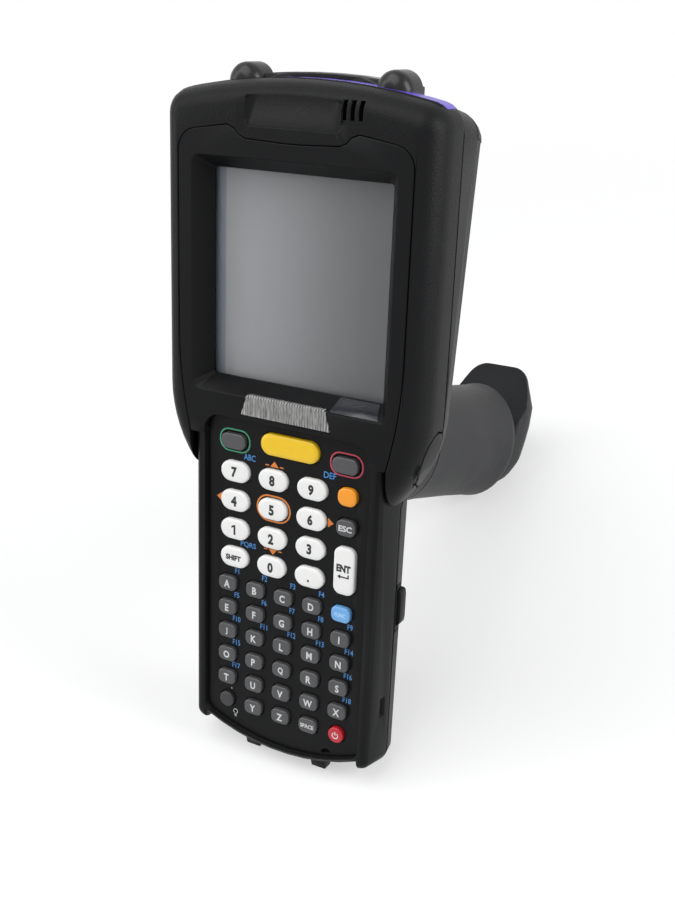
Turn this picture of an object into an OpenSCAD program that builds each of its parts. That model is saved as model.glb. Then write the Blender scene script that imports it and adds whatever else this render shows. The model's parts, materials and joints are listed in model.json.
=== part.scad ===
// Portable barcode data terminal: a handheld computer with a screen, a 48-key keypad and a
// pistol grip. It is drawn standing on its two bottom lugs and the heel of the grip base.
// Body axes used by the modules: X to the viewer's right, Y along the unit towards the scan
// end, Z out of the keypad face, which is Z = 0. stand() tilts them into the standing pose.

/* [Body] */
// Overall length, bottom rim to top edge
unit_len = 197.8; // [195:0.1:240]
// Width across the head
head_w = 82.4; // [80:0.1:100]
// Width across the keypad rails
body_w = 62.6; // [60:0.1:66]
// Height of the head's front face above the keypad face
head_face = 2.4; // [1.8:0.1:3.2]
// Height of the keypad rails above the keypad face
rail_h = 1.6; // [1.2:0.1:2.2]
// Thickness of the unit behind the keypad face, where the head begins
back_depth = 24.8; // [24:0.1:30]
// Wall thickness of the moulded covers
wall = 2.2; // [1.8:0.1:2.6]

/* [Screen] */
// Visible width of the screen glass
screen_w = 54; // [45:0.1:56]
// Visible height of the screen glass
screen_h = 57.7; // [48:0.1:58]
// Depth of the glass below the keypad face
glass_drop = 4.4; // [3.6:0.1:5]
// Thickness of the touch panel
glass_t = 1.2; // [0.8:0.1:1.6]
// Thickness of the display module
lcd_t = 3.8; // [3:0.1:4]

/* [Keypad] */
// Column pitch of the number keys
num_px = 12.66; // [12:0.01:13]
// Row pitch of the number keys
num_py = 8.94; // [8.6:0.01:9.2]
// Width of a number key
num_key_w = 9.4; // [7.8:0.1:10.2]
// Column pitch of the letter keys
alpha_px = 9.55; // [9.2:0.01:9.9]
// Row pitch of the letter keys
alpha_py = 7.89; // [7.6:0.01:8]
// Width of a letter key
alpha_key_w = 6; // [5:0.1:6.6]
// Height of the key tops above the keypad face
key_rise = 1.3; // [1.1:0.1:1.8]
// How far a key travels
key_travel = 0.7; // [0.5:0.1:0.8]
// Clearance round each key in the keypad plate
key_gap = 0.3; // [0.2:0.05:0.35]
// Thickness of the keypad plate
plate_t = 1.5; // [1.2:0.1:1.8]

/* [Battery] */
// Width of the battery pack
batt_w = 50; // [44:0.1:51]
// Length of the battery pack
batt_len = 50; // [42:0.1:50]
// Clearance round the battery pack in its bay
batt_gap = 0.3; // [0.2:0.05:0.5]
// How far each battery latch is pressed in
latch_travel = 1.4; // [1:0.1:1.6]

/* [Grip] */
// Length of the grip from the back of the unit to the underside of its base
grip_len = 142.5; // [130:0.5:150]
// Rake of the grip towards the keypad end
grip_rake = 14.8; // [10:0.1:18]
// Width of the grip
grip_w = 33; // [31:0.1:40]
// Front to back depth of the grip
grip_d = 41; // [40:0.1:49]
// Thickness of the rubber sleeve
sleeve_t = 2; // [1.5:0.1:2.4]
// Height of the grip base
base_h = 22.5; // [21:0.1:24]
// Reach of the toe in front of the grip's axis
toe_reach = 29.6; // [27:0.1:34]
// Diameter of the trigger pin
pin_d = 3; // [2.5:0.1:3.5]
// Diameter of the lanyard hole in the base
lanyard_d = 4.5; // [4:0.1:5.4]

/* [Scan end] */
// Height of the rubber bumps above the top edge
bump_rise = 4.4; // [3:0.1:5]
// Distance of each bump from the centre line
bump_x = 22; // [20:0.1:24]
// Radius of each bump
bump_r = 4.7; // [4.4:0.1:6.2]

/* [Side] */
// Diameter of the headset socket's bore
jack_d = 2.6; // [2.5:0.1:3.5]

/* [Hidden] */

// ---- general sizes
eps = 0.01;
fit = 0.15;              // gap between covers that meet edge to edge
seat = 0.1;              // gap under a piece that rests in a pocket
run_gap = 0.05;          // radial clearance of the trigger on its pin
screw_r = 1.1;
screw_head_r = 2.1;
screw_head_h = 1.6;
boss_r = 2.7;

// ---- outline of the unit
rim_y = -67;             // bottom rim on the centre line
top_y = rim_y + unit_len;
rim_bow_r = 65;          // curve of the bottom rim
top_bow_r = 171.6;       // curve of the top edge
head_corner_r = 7;
shoulder_y = 46;         // where the head starts to narrow
shoulder_bow_r = 39;
body_x = body_w / 2;
head_x = head_w / 2;

// ---- faces and seams, all heights over the keypad face
head_slope = 0.12;       // the back of the head falls away towards the scan end
body_slope = 0.012;      // the back of the lower body falls away a little
crown_fall = 0.3;        // fall of the top edge per unit of depth
back_round_x = 16;       // how far the rounded back edges reach in
back_round_z = 16.5;     // how far the rounded back edges reach up
head_seam = -12;
body_seam = -9;
nose_y = 19.5;           // lower end of the shoulders
back_y = 20;             // where the back of the head begins
panel_y = 34;            // where the rails run into the head's front panel
head_round_x = 6;        // rounding of the head's front edge
head_round_z = 8.6;
face_t = 2.6;            // thickness of the front panel

rail_x = 26.3;           // inner side of the rails' lower ends
rail_foot = 1.9;         // how far they stand below the rim there
rail_foot_r = 4;

// ---- screen
screen_cy = top_y - 52.9;
screen_slope = 3.6;      // width of the sloping frame round the glass
glass_lip = 2;           // how far the glass runs under the frame
frame_t = 1.8;           // wall of the frame that carries the glass

// ---- keypad
plate_x = 26.4;          // half width of the keypad plate
plate_top = 38.6;
panel_bend_y = plate_top + 23.3;    // below it the head panel's sides curve in
plate_rim = 3.2;         // rim between the keypad plate and the bottom edge
ledge = 1.2;             // ledge that the keypad plate rests on
cap_flange = 0.6;        // flange that keeps a key behind the plate
flange_t = 0.6;
mat_t = 0.8;
mat_top = -plate_t - 0.2 - flange_t - key_travel - 0.35;
board_t = 1.4;
board_top = mat_top - mat_t - 0.7;

// key centres: the top left key of each block
num_x0 = -16.92;
num_y0 = 22.06;
alpha_x0 = -19.1;
alpha_y0 = -13.57;
side_col_x = 19.6;       // column of the orange, escape and enter keys
oval_h = 6.2;
alpha_key_h = 4.6;
round_key_d = 5;

// ---- battery bay
batt_top = -6;           // scan end of the battery
batt_bottom = batt_top - batt_len;
bay_floor = -10;
latch_y = -13.2;
latch_len = 11;
latch_h = 4;
latch_proud = 1.4;       // how far a latch stands out of the side
ear_len = 14;            // length of the battery ear that holds a latch
ear_z = -9.6;

// ---- grip, drawn down its own axis
grip_y = 25.5;             // where the grip's axis leaves the back of the unit
grip_root = -26.2;
sleeve_top = -46;
core_w = grip_w - 2 * sleeve_t;
core_d = grip_d - 2 * sleeve_t;
grip_wall = 2.4;
trig_v = 15;             // trigger pin, ahead of the grip's axis
trig_w = -9;             // trigger pin, down the grip
trig_half = 5.6;
trig_gap = 0.4;
toe_corner = 7;
toe_start = 9;           // the upper face falls away towards the toe from here
toe_flat = 5.6;          // half width of the flat edge at the toe
heel_corner = 12;
heel_d = 18.5;           // heel behind the grip's axis
base_x = 16;             // half width of the base

// heights down the grip and scales across, at the heel and at the toe
base_rings = [[-grip_len, 0.5, 0.2, 0.6], [-grip_len + 0.7, 0.7, 0.33, 0.78],
    [-grip_len + 2.4, 0.86, 0.46, 0.92], [-grip_len + 5, 0.96, 0.6, 1],
    [-grip_len + 9, 1, 0.76, 1], [-grip_len + 13, 1, 0.92, 1],
    [-grip_len + base_h - 2.4, 1, 1, 0.98], [-grip_len + base_h - 0.8, 0.99, 0.99, 0.96],
    [-grip_len + base_h, 0.93, 0.92, 0.92]];

// ---- standing pose
lug_x = 11.6;
lug_w = 4.8;
lug_y = rim_y - 1.9;     // underside of the bottom lugs
lug_z = [-6.4, -3];
foot = base_rings[5];    // ring of the base that stands on the floor
heel_v = -heel_d * foot[2];
heel_w = foot[0];
heel = [grip_y + heel_v * cos(grip_rake) + heel_w * sin(grip_rake),
    grip_root - heel_v * sin(grip_rake) + heel_w * cos(grip_rake)];
lean = atan2(heel[0] - lug_y, lug_z[0] - heel[1]);
toe_w = base_rings[3][0];
toe_tip = [grip_y + toe_reach * cos(grip_rake) + toe_w * sin(grip_rake),
    grip_root - toe_reach * sin(grip_rake) + toe_w * cos(grip_rake)];
floor_drop = -(lug_y * cos(lean) + lug_z[0] * sin(lean));
front_y = rim_y * sin(lean) - 0.4 * cos(lean);
rear_y = toe_tip[0] * sin(lean) - toe_tip[1] * cos(lean);

// Tilts the body axes into the standing pose, origin under the middle of the footprint
module stand() {
    translate([0, -(front_y + rear_y) / 2, floor_drop])
        rotate([90 - lean, 0, 0])
            children();
}

// Grip axes: Z runs up the grip into the unit, Y points to the trigger side
module on_grip() {
    translate([0, grip_y, grip_root])
        rotate([-grip_rake, 0, 0])
            children();
}

// ---- outline helpers
function arc(cx, cy, r, a0, a1, n) =
    [for (i = [0:n]) let (a = a0 + (a1 - a0) * i / n) [cx + r * cos(a), cy + r * sin(a)]];

// closes a right half outline, bottom to top, into a full one
function mirrored(half) =
    concat(half, [for (i = [len(half) - 1:-1:0]) [-half[i][0], half[i][1]]]);

// bottom rim of the lower body, from the centre line up to the side, set in by e;
// the rail's lower end stands proud of it by k of its full step
function rim_half(e, k = 1) =
    let (rc = max(rail_foot_r - 0.8 * e, 0.4),
        rb = rim_bow_r - e,
        x = min(rail_x, body_x - e - rc - 0.3),
        a = asin(x / rb),
        y = rim_y + rim_bow_r - rb * cos(a),
        foot_y = y - k * rail_foot)
    concat([for (i = [0:3]) let (b = a * (i + 0.5) / 4.5)
            [rb * sin(b), rim_y + rim_bow_r - rb * cos(b)]],
        [[x, y], [x + 0.2, foot_y - 0.1]],
        arc(body_x - e - rc, foot_y + rc, rc, -90, 0, 6));

rail_fan = [4, 13];      // points of an outline round the rail's lower end

// shoulder of the head, from the lower body's side out to the head's side
function shoulder_half(e) =
    let (cx = head_x - shoulder_bow_r,
        r = shoulder_bow_r - e,
        a = acos((body_x - e - cx) / r))
    arc(cx, shoulder_y, r, -a, 0, 8);

// top edge of the head, from its side to the centre line
function crown_half(e) =
    let (rc = max(head_corner_r - e, 0.4),
        cy = top_y - top_bow_r,
        cx = head_x - e - rc,
        dy = sqrt(pow(top_bow_r - e - rc, 2) - cx * cx),
        a = atan2(dy, cx))
    concat(arc(cx, cy + dy, rc, 0, a, 5),
        [for (i = [1:5]) let (b = a + (90 - a) * (i - 0.5) / 5)
            [(top_bow_r - e) * cos(b), cy + (top_bow_r - e) * sin(b)]]);

function unit_half(e) =
    concat(rim_half(e, max(0.04, 1 - e / 5)), shoulder_half(e), crown_half(e));

function head_half(e) = concat(shoulder_half(e), crown_half(e));

function body_half(e) =
    concat(rim_half(e), [[body_x - e, panel_y]]);

// rounded rectangle with its middle at the origin
function round_rect(w, h, r, n = 5) =
    concat(arc(w / 2 - r, r - h / 2, r, -90, 0, n), arc(w / 2 - r, h / 2 - r, r, 0, 90, n),
        arc(r - w / 2, h / 2 - r, r, 90, 180, n), arc(r - w / 2, r - h / 2, r, 180, 270, n));

// height of the back of the unit at y
function back_z(y) = -back_depth - (y > back_y ? head_slope : body_slope) * (y - back_y);

// where the rounding of the back edges starts
function round_z(y) = min(back_z(y) + back_round_z, seam_z(y) - 0.2);

// seam between the front covers and the rear housing
function seam_z(y) = y > nose_y + 3 ? head_seam
    : y > nose_y - 1 ? body_seam + (head_seam - body_seam) * (y - nose_y + 1) / 4
    : body_seam;

// an outline laid at one height
function ring_at(points, z) = [for (p = points) [p[0], p[1], z]];

// the top edge falls away towards the back, below the front part of the crown
function drop_at(y, z) =
    crown_fall * max(0, min(1, (y - top_y + 45) / 40)) * max(0, head_seam - 0.5 - z);

// ring of the back shell at angle t of its rounding
function back_ring(points, t) =
    [for (p = points) let (z0 = round_z(p[1]), z = z0 + (back_z(p[1]) - z0) * sin(t))
        [p[0], p[1] - drop_at(p[1], z), z]];

// Solid between stacked rings of equal length. The end caps are strips across X, apart
// from the points between fan[0] and fan[1] of each half, which fan out from fan[0]
module skin(rings, fan = [0, 1]) {
    n = len(rings[0]);
    m = len(rings);
    walk = [for (i = [0:n / 2 - 1]) if (i <= fan[0] || i >= fan[1]) i];
    sides = [for (k = [0:m - 2]) for (i = [0:n - 1]) let (j = (i + 1) % n)
        each [[k * n + i, (k + 1) * n + i, (k + 1) * n + j],
            [k * n + i, (k + 1) * n + j, k * n + j]]];
    cap = concat(
        [for (k = [0:len(walk) - 2]) let (i = walk[k], j = walk[k + 1])
            each [[i, j, n - 1 - j], [i, n - 1 - j, n - 1 - i]]],
        [for (i = [fan[0] + 1:1:fan[1] - 1])
            each [[fan[0], i, i + 1], [n - 1 - fan[0], n - 2 - i, n - 1 - i]]]);
    top = [for (f = cap) [for (i = f) (m - 1) * n + i]];
    polyhedron([for (r = rings) each r],
        concat(sides, cap, [for (f = top) [f[0], f[2], f[1]]]));
}

// Tube between rings that close on themselves, such as a sleeve
module band(rings) {
    n = len(rings[0]);
    m = len(rings);
    polyhedron([for (r = rings) each r],
        [for (k = [0:m - 1]) for (i = [0:n - 1]) let (j = (i + 1) % n, l = (k + 1) % m)
            each [[k * n + i, l * n + i, l * n + j], [k * n + i, l * n + j, k * n + j]]]);
}

// Prism of an outline between two heights
module prism(points, z0, z1) {
    translate([0, 0, z0])
        linear_extrude(z1 - z0)
            polygon(points);
}

// Prism across the unit, from an outline in Y and Z
module cross_prism(points, x0, x1) {
    translate([x0, 0, 0])
        rotate([90, 0, 90])
            linear_extrude(x1 - x0)
                polygon(points);
}

// ---- shapes that several pieces share

// front half of the head, rounded round its face
module head_front() {
    skin(concat([ring_at(mirrored(head_half(0)), head_seam - 5)],
        [for (t = [0:18:90])
            ring_at(mirrored(head_half(head_round_x * (1 - cos(t)))),
                head_face - head_round_z * (1 - sin(t)))]));
}

module both_sides() {
    children();
    mirror([1, 0, 0])
        children();
}

// front half of the lower body with its drafted sides and rails
module body_front() {
    skin([ring_at(mirrored(body_half(0)), body_seam - 5),
        ring_at(mirrored(body_half(0)), body_seam + 1),
        ring_at(mirrored(body_half(1.3)), 0),
        ring_at(mirrored(body_half(1.8)), rail_h - 0.6),
        ring_at(mirrored(body_half(2.8)), rail_h)], rail_fan);
}

// everything in front of the seam, with the shoulders' lower ends
module front_of_seam(gap = 0) {
    far = unit_len + 20;
    cross_prism([[rim_y - 9, body_seam + gap], [nose_y - 1, body_seam + gap],
        [nose_y + 3, head_seam + gap], [far, head_seam + gap], [far, 20], [rim_y - 9, 20]],
        -head_w, head_w);
}

// inner front panel of the head, inside the shroud
function panel_half(e) =
    let (r = 120,
        x = 35 - e,
        y0 = panel_bend_y,
        a = acos((body_x - e - x + r) / r),
        yc = top_y - 19.9)
    concat(arc(x - r, y0, r, -a, 0, 6), arc(x - 6, yc, 6, 0, 80, 5),
        [[19.5, top_y - 12.3 - e], [17.4, top_y - 13.1 - e], [16, top_y - 14.6 - e],
            [14, top_y - 15.5 - e], [2, top_y - 16 - e]]);

module panel_prism(e, z0, z1) {
    prism(mirrored(panel_half(e)), z0, z1);
}

// recess of the keypad plate, grown by g
function plate_half(g) =
    let (r = 5 + g,
        x = plate_x + g,
        cy = rim_y + rim_bow_r,
        rb = rim_bow_r - plate_rim + g,
        rc = 3 + g,
        cx = x - rc,
        dy = sqrt(pow(rb - rc, 2) - cx * cx),
        a = atan2(-dy, cx))
    concat([for (i = [0:3]) let (b = -90 + (a + 90) * (i + 0.5) / 4.5)
            [rb * cos(b), cy + rb * sin(b)]],
        arc(cx, cy - dy, rc, a, 0, 3), arc(x - r, plate_top + g - r, r, 0, 90, 4));

// ---- keys: [name, x, y, width, height, corner radius]
function num_at(c, r) = [num_x0 + c * num_px, num_y0 - r * num_py];
function alpha_at(c, r) = [alpha_x0 + c * alpha_px, alpha_y0 - r * alpha_py];

function key_box(at, w, h, r) = [at[0], at[1], w, h, r];
function oval(c, r) = key_box(num_at(c, r), num_key_w, oval_h, oval_h / 2 - 0.01);
function small(c, r) = key_box(alpha_at(c, r), alpha_key_w, alpha_key_h, 1.7);
function dot(c, r) = key_box(alpha_at(c, r), round_key_d, round_key_d, round_key_d / 2 - 0.01);

SCAN = key_box([0.9, 32.6], 18.6, 6.4, 3.1);
ACTION_L = key_box([-17.5, 31.2], 8, 4.6, 2.1);
ACTION_R = key_box([18.6, 31.2], 8, 4.6, 2.1);
ORANGE = key_box([side_col_x, 22.2], 5.8, 5.2, 2.2);
ESCAPE = key_box([side_col_x, 13.1], 6, 4.8, 2);
ENTER = key_box([side_col_x, 0], 6.6, 14.4, 2.4);
BLUE = small(4, 0);
POWER = dot(4, 5);
BACKLIGHT = dot(0, 5);

// letter keys of row r, left to right
function letter_keys(r) =
    [for (c = [(r == 5 ? 1 : 0):(r == 0 || r == 5 ? 3 : 4)]) small(c, r)];

ALL_KEYS = concat([SCAN, ACTION_L, ACTION_R, ORANGE, ESCAPE, ENTER, BLUE, POWER, BACKLIGHT],
    [for (r = [0:3]) for (c = [0:2]) oval(c, r)], [for (r = [0:5]) each letter_keys(r)]);

module key_prism(k, grow, z0, z1) {
    translate([k[0], k[1], 0])
        prism(round_rect(k[2] + 2 * grow, k[3] + 2 * grow, k[4] + grow), z0, z1);
}

// one key: cap with a chamfered top, and the flange behind the plate
module key(k) {
    under = -plate_t - 0.2;
    union() {
        key_prism(k, 0, under - eps, key_rise - 0.35);
        key_prism(k, -0.35, key_rise - 0.35 - eps, key_rise);
        key_prism(k, cap_flange, under - flange_t, under);
    }
}

module one_key(shade, k) {
    color(shade)
        key(k);
}

module letter_row(r) {
    color("#6a6d70")
        for (k = letter_keys(r))
            key(k);
}

// ---- covers
glass_w = screen_w + 2 * glass_lip;
glass_h = screen_h + 2 * glass_lip;
glass_back = -glass_drop - glass_t;
lcd_back = glass_back - 0.2 - lcd_t;
panel_back = head_face - face_t;

// opening over the glass, with its sloping frame
module screen_opening() {
    translate([0, screen_cy, 0]) {
        hull() {
            prism(round_rect(screen_w, screen_h, 1), 1 - glass_drop, 1.1 - glass_drop);
            prism(round_rect(screen_w + 2 * screen_slope, screen_h + 2 * screen_slope, 2.4),
                head_face + eps, head_face + 0.1);
        }
        prism(round_rect(screen_w, screen_h, 1), -glass_drop - 3, 1.05 - glass_drop);
    }
}

module centred(w, h, r, z0, z1, y = 0) {
    translate([0, y, 0])
        prism(round_rect(w, h, r), z0, z1);
}

module front_bezel() {
    inner = wall + 1.3;
    color("#26272a")
        difference() {
            union() {
                intersection() {
                    panel_prism(fit, panel_back, head_face);
                    head_front();
                }
                difference() {
                    intersection() {
                        body_front();
                        front_of_seam();
                    }
                    prism(mirrored(body_half(inner)), head_seam - 6, -plate_t - ledge);
                }
                centred(glass_w + 2 * frame_t, glass_h + 2 * frame_t, 1,
                    lcd_back, panel_back + eps, screen_cy);
                at_lower_screws()
                    translate([0, 0, body_seam])
                        cylinder(r = lower_boss_r, h = -body_seam - plate_t - 0.5, $fn = 32);
                lugs();
            }
            prism(mirrored(plate_half(fit)), -plate_t, 9);
            prism(mirrored(plate_half(-ledge)), head_seam - 6, 0);
            screen_opening();
            centred(glass_w + 2 * seat, glass_h + 2 * seat, 0.6, lcd_back - 1, -glass_drop,
                screen_cy);
            light_bar_shape(fit, light_bar_z, 9);
            side_slot();
            at_lower_screws()
                translate([0, 0, body_seam - 1])
                    cylinder(r = screw_r + 0.02, h = lower_grip_z + 0.5 - body_seam + 1,
                        $fn = 32);
        }
}

lower_screw = [18, rim_y + 6.4];
lower_boss_r = 2.2;
lower_grip_z = -4.5;     // end of the lower screws in the front cover
lower_head_z = -15.2;    // seat of the lower screws' heads

module at_lower_screws() {
    for (s = [-1, 1])
        translate([s * lower_screw[0], lower_screw[1], 0])
            children();
}

// slot in the right rail
module side_slot() {
    translate([body_x - 2.6, -46, -6.3])
        cube([6, 6, 2.1]);
}

// two feet under the bottom rim
module lugs() {
    for (s = [-1, 1])
        translate([s * lug_x - lug_w / 2, 0, 0])
            cross_prism([[lug_y, lug_z[0]], [rim_y + 2, lug_z[0] - 1.2],
                [rim_y + 2, lug_z[1] + 1.2], [lug_y, lug_z[1]]], 0, lug_w);
}

// ribbed clear bar under the screen
light_bar_z = 0.4;

module light_bar_shape(g, z0, z1) {
    bottom = plate_top + 1.6 - g;
    prism([[-14.3 - g, bottom], [14.3 + g, bottom], [12.3 + g, bottom + 6 + 2 * g],
        [-12.3 - g, bottom + 6 + 2 * g]], z0, z1);
}

module light_bar() {
    color([0.85, 0.87, 0.88, 0.8]) {
        light_bar_shape(0, light_bar_z + seat, head_face);
        for (i = [-12:12])
            translate([i - 0.3, plate_top + 2, head_face - 0.1])
                cube([0.6, 5.2, 0.4]);
    }
}

// screws that hold the head's covers together
head_screws = [[34.6, shoulder_y + 12], [34.6, top_y - 22]];
head_grip_z = -6.5;
head_recess = 9;         // depth of the screw heads below the back plane

module at_head_screws() {
    for (p = head_screws)
        for (s = [-1, 1])
            translate([s * p[0], p[1], 0])
                children();
}

module shroud_cavity() {
    skin([ring_at(mirrored(head_half(wall)), head_seam - 6),
        ring_at(mirrored(head_half(wall)), head_face - head_round_z),
        ring_at(mirrored(head_half(wall + 1.2)), head_face - head_round_z / 2),
        ring_at(mirrored(head_half(wall + 3)), panel_back)]);
}

module head_shroud() {
    color("#2b2c2f")
        difference() {
            union() {
                difference() {
                    intersection() {
                        head_front();
                        front_of_seam();
                    }
                    shroud_cavity();
                }
                intersection() {
                    at_head_screws()
                        translate([0, 0, head_seam])
                            cylinder(r = boss_r, h = head_face - head_seam, $fn = 32);
                    head_front();
                }
            }
            panel_prism(0, panel_back - seat, 9);
            prism(mirrored(body_half(-fit)), head_seam - 6, 9);
            for (i = [0:2])
                translate([speaker_x - 2.9 + i * 2.3, top_y - 9.1, -3])
                    cube([1.1, 4.7, 9]);
            centred(28, 8.4, 2, head_face - 0.6, 9, top_y - 8);
            translate([-window_x - fit, top_y - 12, head_seam - 1])
                cube([2 * window_x + 2 * fit, 20, window_z + fit - head_seam + 1]);
            flap_outline(flap_gap);
            at_head_screws()
                translate([0, 0, head_seam - 1])
                    cylinder(r = screw_r + 0.02, h = head_grip_z + 0.5 - head_seam + 1,
                        $fn = 32);
        }
}

// the unit behind the seam, as one solid
module back_solid() {
    difference() {
        skin(concat(
            [for (t = [90:-15:0])
                back_ring(mirrored(unit_half(back_round_x * (1 - cos(t)))), t)],
            [ring_at(mirrored(unit_half(0)), 0)]), rail_fan);
        front_of_seam();
    }
}

// hollow of the head behind the seam
module head_cavity() {
    intersection() {
        skin([
            [for (p = mirrored(head_half(9))) [p[0], p[1], back_z(p[1]) + wall + 0.2]],
            [for (p = mirrored(head_half(5.4))) [p[0], p[1], back_z(p[1]) + 5]],
            [for (p = mirrored(head_half(3.2))) [p[0], p[1], back_z(p[1]) + 9.5]],
            ring_at(mirrored(head_half(wall + 0.2)), 3)]);
        translate([-head_w, nose_y, -60])
            cube([2 * head_w, top_y - 8 - nose_y, 70]);
    }
    for (b = [[22, wall + 0.8], [27.2, 9.5]])
        translate([-b[0], hollow_y, back_z(back_y) + b[1]])
            cube([2 * b[0], nose_y + 8 - hollow_y, 40]);
}

hollow_y = -3;           // lower end of the hollow, next to the battery bay

module battery_bay() {
    centred(batt_w + 2 * batt_gap, batt_len + 2 * batt_gap, 3, -60, bay_floor,
        batt_top - batt_len / 2);
    translate([-body_w, latch_y - ear_len / 2 - batt_gap, -60])
        cube([2 * body_w, ear_len + 2 * batt_gap, 60 + ear_z]);
}

// feet of the main board, the scan engine and the keypad board
board_post_r = 2;
board_posts = [[24, 34], [24, 92]];
engine_posts = [[9, 105], [9, 117]];
pad_posts = [[22, -44], [22, -12]];

module posts(at, r, top) {
    for (p = at)
        for (s = [-1, 1])
            translate([s * p[0], p[1], -60])
                cylinder(r = r, h = 60 + top, $fn = 32);
}

module rear_housing() {
    color("#2e2f32")
        difference() {
            union() {
                difference() {
                    back_solid();
                    head_cavity();
                }
                intersection() {
                    union() {
                        posts([for (p = head_screws) p], boss_r, head_seam - eps);
                        posts(board_posts, board_post_r, main_z - main_t - seat);
                        posts(engine_posts, board_post_r, engine_z[0] - seat);
                        posts(saddle_posts, saddle_boss_r, head_seam - 7);
                    }
                    back_solid();
                }
                for (p = pad_posts)
                    for (s = [-1, 1])
                        translate([s * p[0], p[1], body_seam - 0.5])
                            cylinder(r = 1.6, h = board_top - board_t - seat - body_seam + 0.5,
                                $fn = 24);
            }
            battery_bay();
            contact_block(seat);
            flap_outline(flap_gap);
            bumper_seat(seat);
            at_head_screws()
                translate([0, 0, -60])
                    cylinder(r = screw_r + 0.15, h = 70, $fn = 32);
            for (p = head_screws)
                posts([p], screw_head_r + 0.2, back_z(p[1]) + head_recess);
            at_lower_screws() {
                translate([0, 0, -60])
                    cylinder(r = screw_r + 0.15, h = 60, $fn = 32);
                translate([0, 0, -60])
                    cylinder(r = screw_head_r + 0.2, h = 60 + lower_head_z, $fn = 32);
            }
            dock_pocket();
            on_grip()
                at_saddle_screws()
                    translate([0, 0, saddle_w - 1])
                        cylinder(r = screw_r + 0.02, h = saddle_grip - saddle_w + 1.5,
                            $fn = 32);
        }
}

// screws with their heads at the back
module screw(z0, z1) {
    translate([0, 0, z0 - screw_head_h])
        difference() {
            cylinder(r = screw_head_r, h = screw_head_h, $fn = 32);
            translate([0, 0, -eps])
                cylinder(r = 1, h = 0.9, $fn = 6);
        }
    translate([0, 0, z0 - eps])
        cylinder(r = screw_r, h = z1 - z0, $fn = 32);
}

module housing_screws() {
    color("#8d8f92") {
        for (p = head_screws)
            for (s = [-1, 1])
                translate([s * p[0], p[1], 0])
                    screw(back_z(p[1]) + head_recess - seat / 2, head_grip_z);
        at_lower_screws()
            screw(lower_head_z - seat / 2, lower_grip_z);
    }
}

// seal just inside the seam, one run in the head and one in the lower body
module housing_seal() {
    color("#3a3b3d") {
        difference() {
            prism(mirrored(head_half(wall + 0.25)), head_seam + 0.05, head_seam + 1.2);
            prism(mirrored(head_half(wall + 1.1)), head_seam - 2, head_seam + 2);
            translate([-head_w, 0, -30])
                cube([2 * head_w, nose_y + 6.5, 60]);
        }
        difference() {
            prism(mirrored(body_half(wall + 1.55)), body_seam + 0.05, body_seam + 1.4);
            prism(mirrored(body_half(wall + 2.4)), body_seam - 2, body_seam + 4);
            translate([-head_w, 14, -30])
                cube([2 * head_w, 60, 60]);
            at_lower_screws()
                translate([0, 0, -20])
                    cylinder(r = lower_boss_r + 0.2, h = 20, $fn = 32);
        }
    }
}

// ---- flap over the headset socket, on the right shoulder
flap_gap = 0.3;
flap_hinge = [41, 42.2];

module flap_outline(g) {
    cross_prism([[24.8 - g, -11.6], [27.7 - g, -6.6 + g], [32.2 - g / 2, -4.1 + g],
        [36.4, -3.7 + g], [39.4 + g, -4.6 + g], [41.5 + g, -7 + g / 2], [42 + g, -9.6],
        [41.2 + g, -12.4 - g / 2], [39 + g, -12.9 - g], [32, -13 - g], [26.4 - g, -13.2 - g]],
        head_x - 14, head_x + 2);
}

module jack_cover() {
    color("#303134")
        difference() {
            intersection() {
                flap_outline(0);
                difference() {
                    head_front();
                    shroud_cavity();
                }
            }
            translate([35.6, 24.2, -11.2])
                rotate([0, 0, 60])
                    cylinder(r = 1.1, h = 3.6, $fn = 24);
        }
}

// socket behind the flap; its bore opens sideways
jack_at = [28, 37.7, -7.6];
jack_len = 8.6;

module headset_jack() {
    color("#1b1c1e")
        translate(jack_at)
            difference() {
                union() {
                    rotate([0, 90, 0])
                        cylinder(r = 2.7, h = jack_len, $fn = 48);
                    translate([-2.8, -3.2, -2.2])
                        cube([jack_len - 0.8, 6.4, 5.2]);
                }
                rotate([0, 90, 0])
                    cylinder(d = jack_d, h = jack_len + 1, $fn = 48);
            }
}

// ---- screen, keypad and boards
module touch_panel() {
    color("#9aa0a6")
        centred(glass_w, glass_h, 0.6, glass_back, -glass_drop - 0.05, screen_cy);
}

module lcd_module() {
    color("#6f757b")
        union() {
            centred(glass_w - 2, glass_h - 2, 0.5, lcd_back + 0.1, glass_back - 0.1,
                screen_cy);
            centred(glass_w, glass_h, 0.5, lcd_back + 0.1, lcd_back + 1.4, screen_cy);
        }
}

mic_at = [14.6, rim_y + 6.4];

module keypad_plate() {
    color("#1f2023")
        difference() {
            prism(mirrored(plate_half(0)), -plate_t + 0.05, 0);
            for (k = ALL_KEYS)
                key_prism(k, key_gap, -plate_t - 1, 1);
            translate([mic_at[0], mic_at[1], -3])
                cylinder(r = 0.6, h = 5, $fn = 24);
        }
}

mat_inset = ledge + 0.3;

module keymat() {
    bottom = mat_top - mat_t;
    color("#5c5f63") {
        prism(mirrored(plate_half(-mat_inset)), bottom, mat_top);
        difference() {
            prism(mirrored(plate_half(-mat_inset)), mat_top - eps, -plate_t - 0.05);
            prism(mirrored(plate_half(-mat_inset - 0.7)), mat_top - 1, 0);
            translate([-body_w, 28, -10])
                cube([2 * body_w, 40, 20]);
        }
        for (k = ALL_KEYS)
            translate([k[0], k[1], board_top + seat])
                cylinder(r = 1.1, h = bottom - board_top - seat + eps, $fn = 24);
    }
}

module keypad_board() {
    color("#1e5a3a")
        difference() {
            prism(mirrored(plate_half(-mat_inset)), board_top - board_t, board_top);
            at_lower_screws()
                translate([0, 0, -20])
                    cylinder(r = lower_boss_r + 0.3, h = 20, $fn = 32);
        }
}

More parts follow.
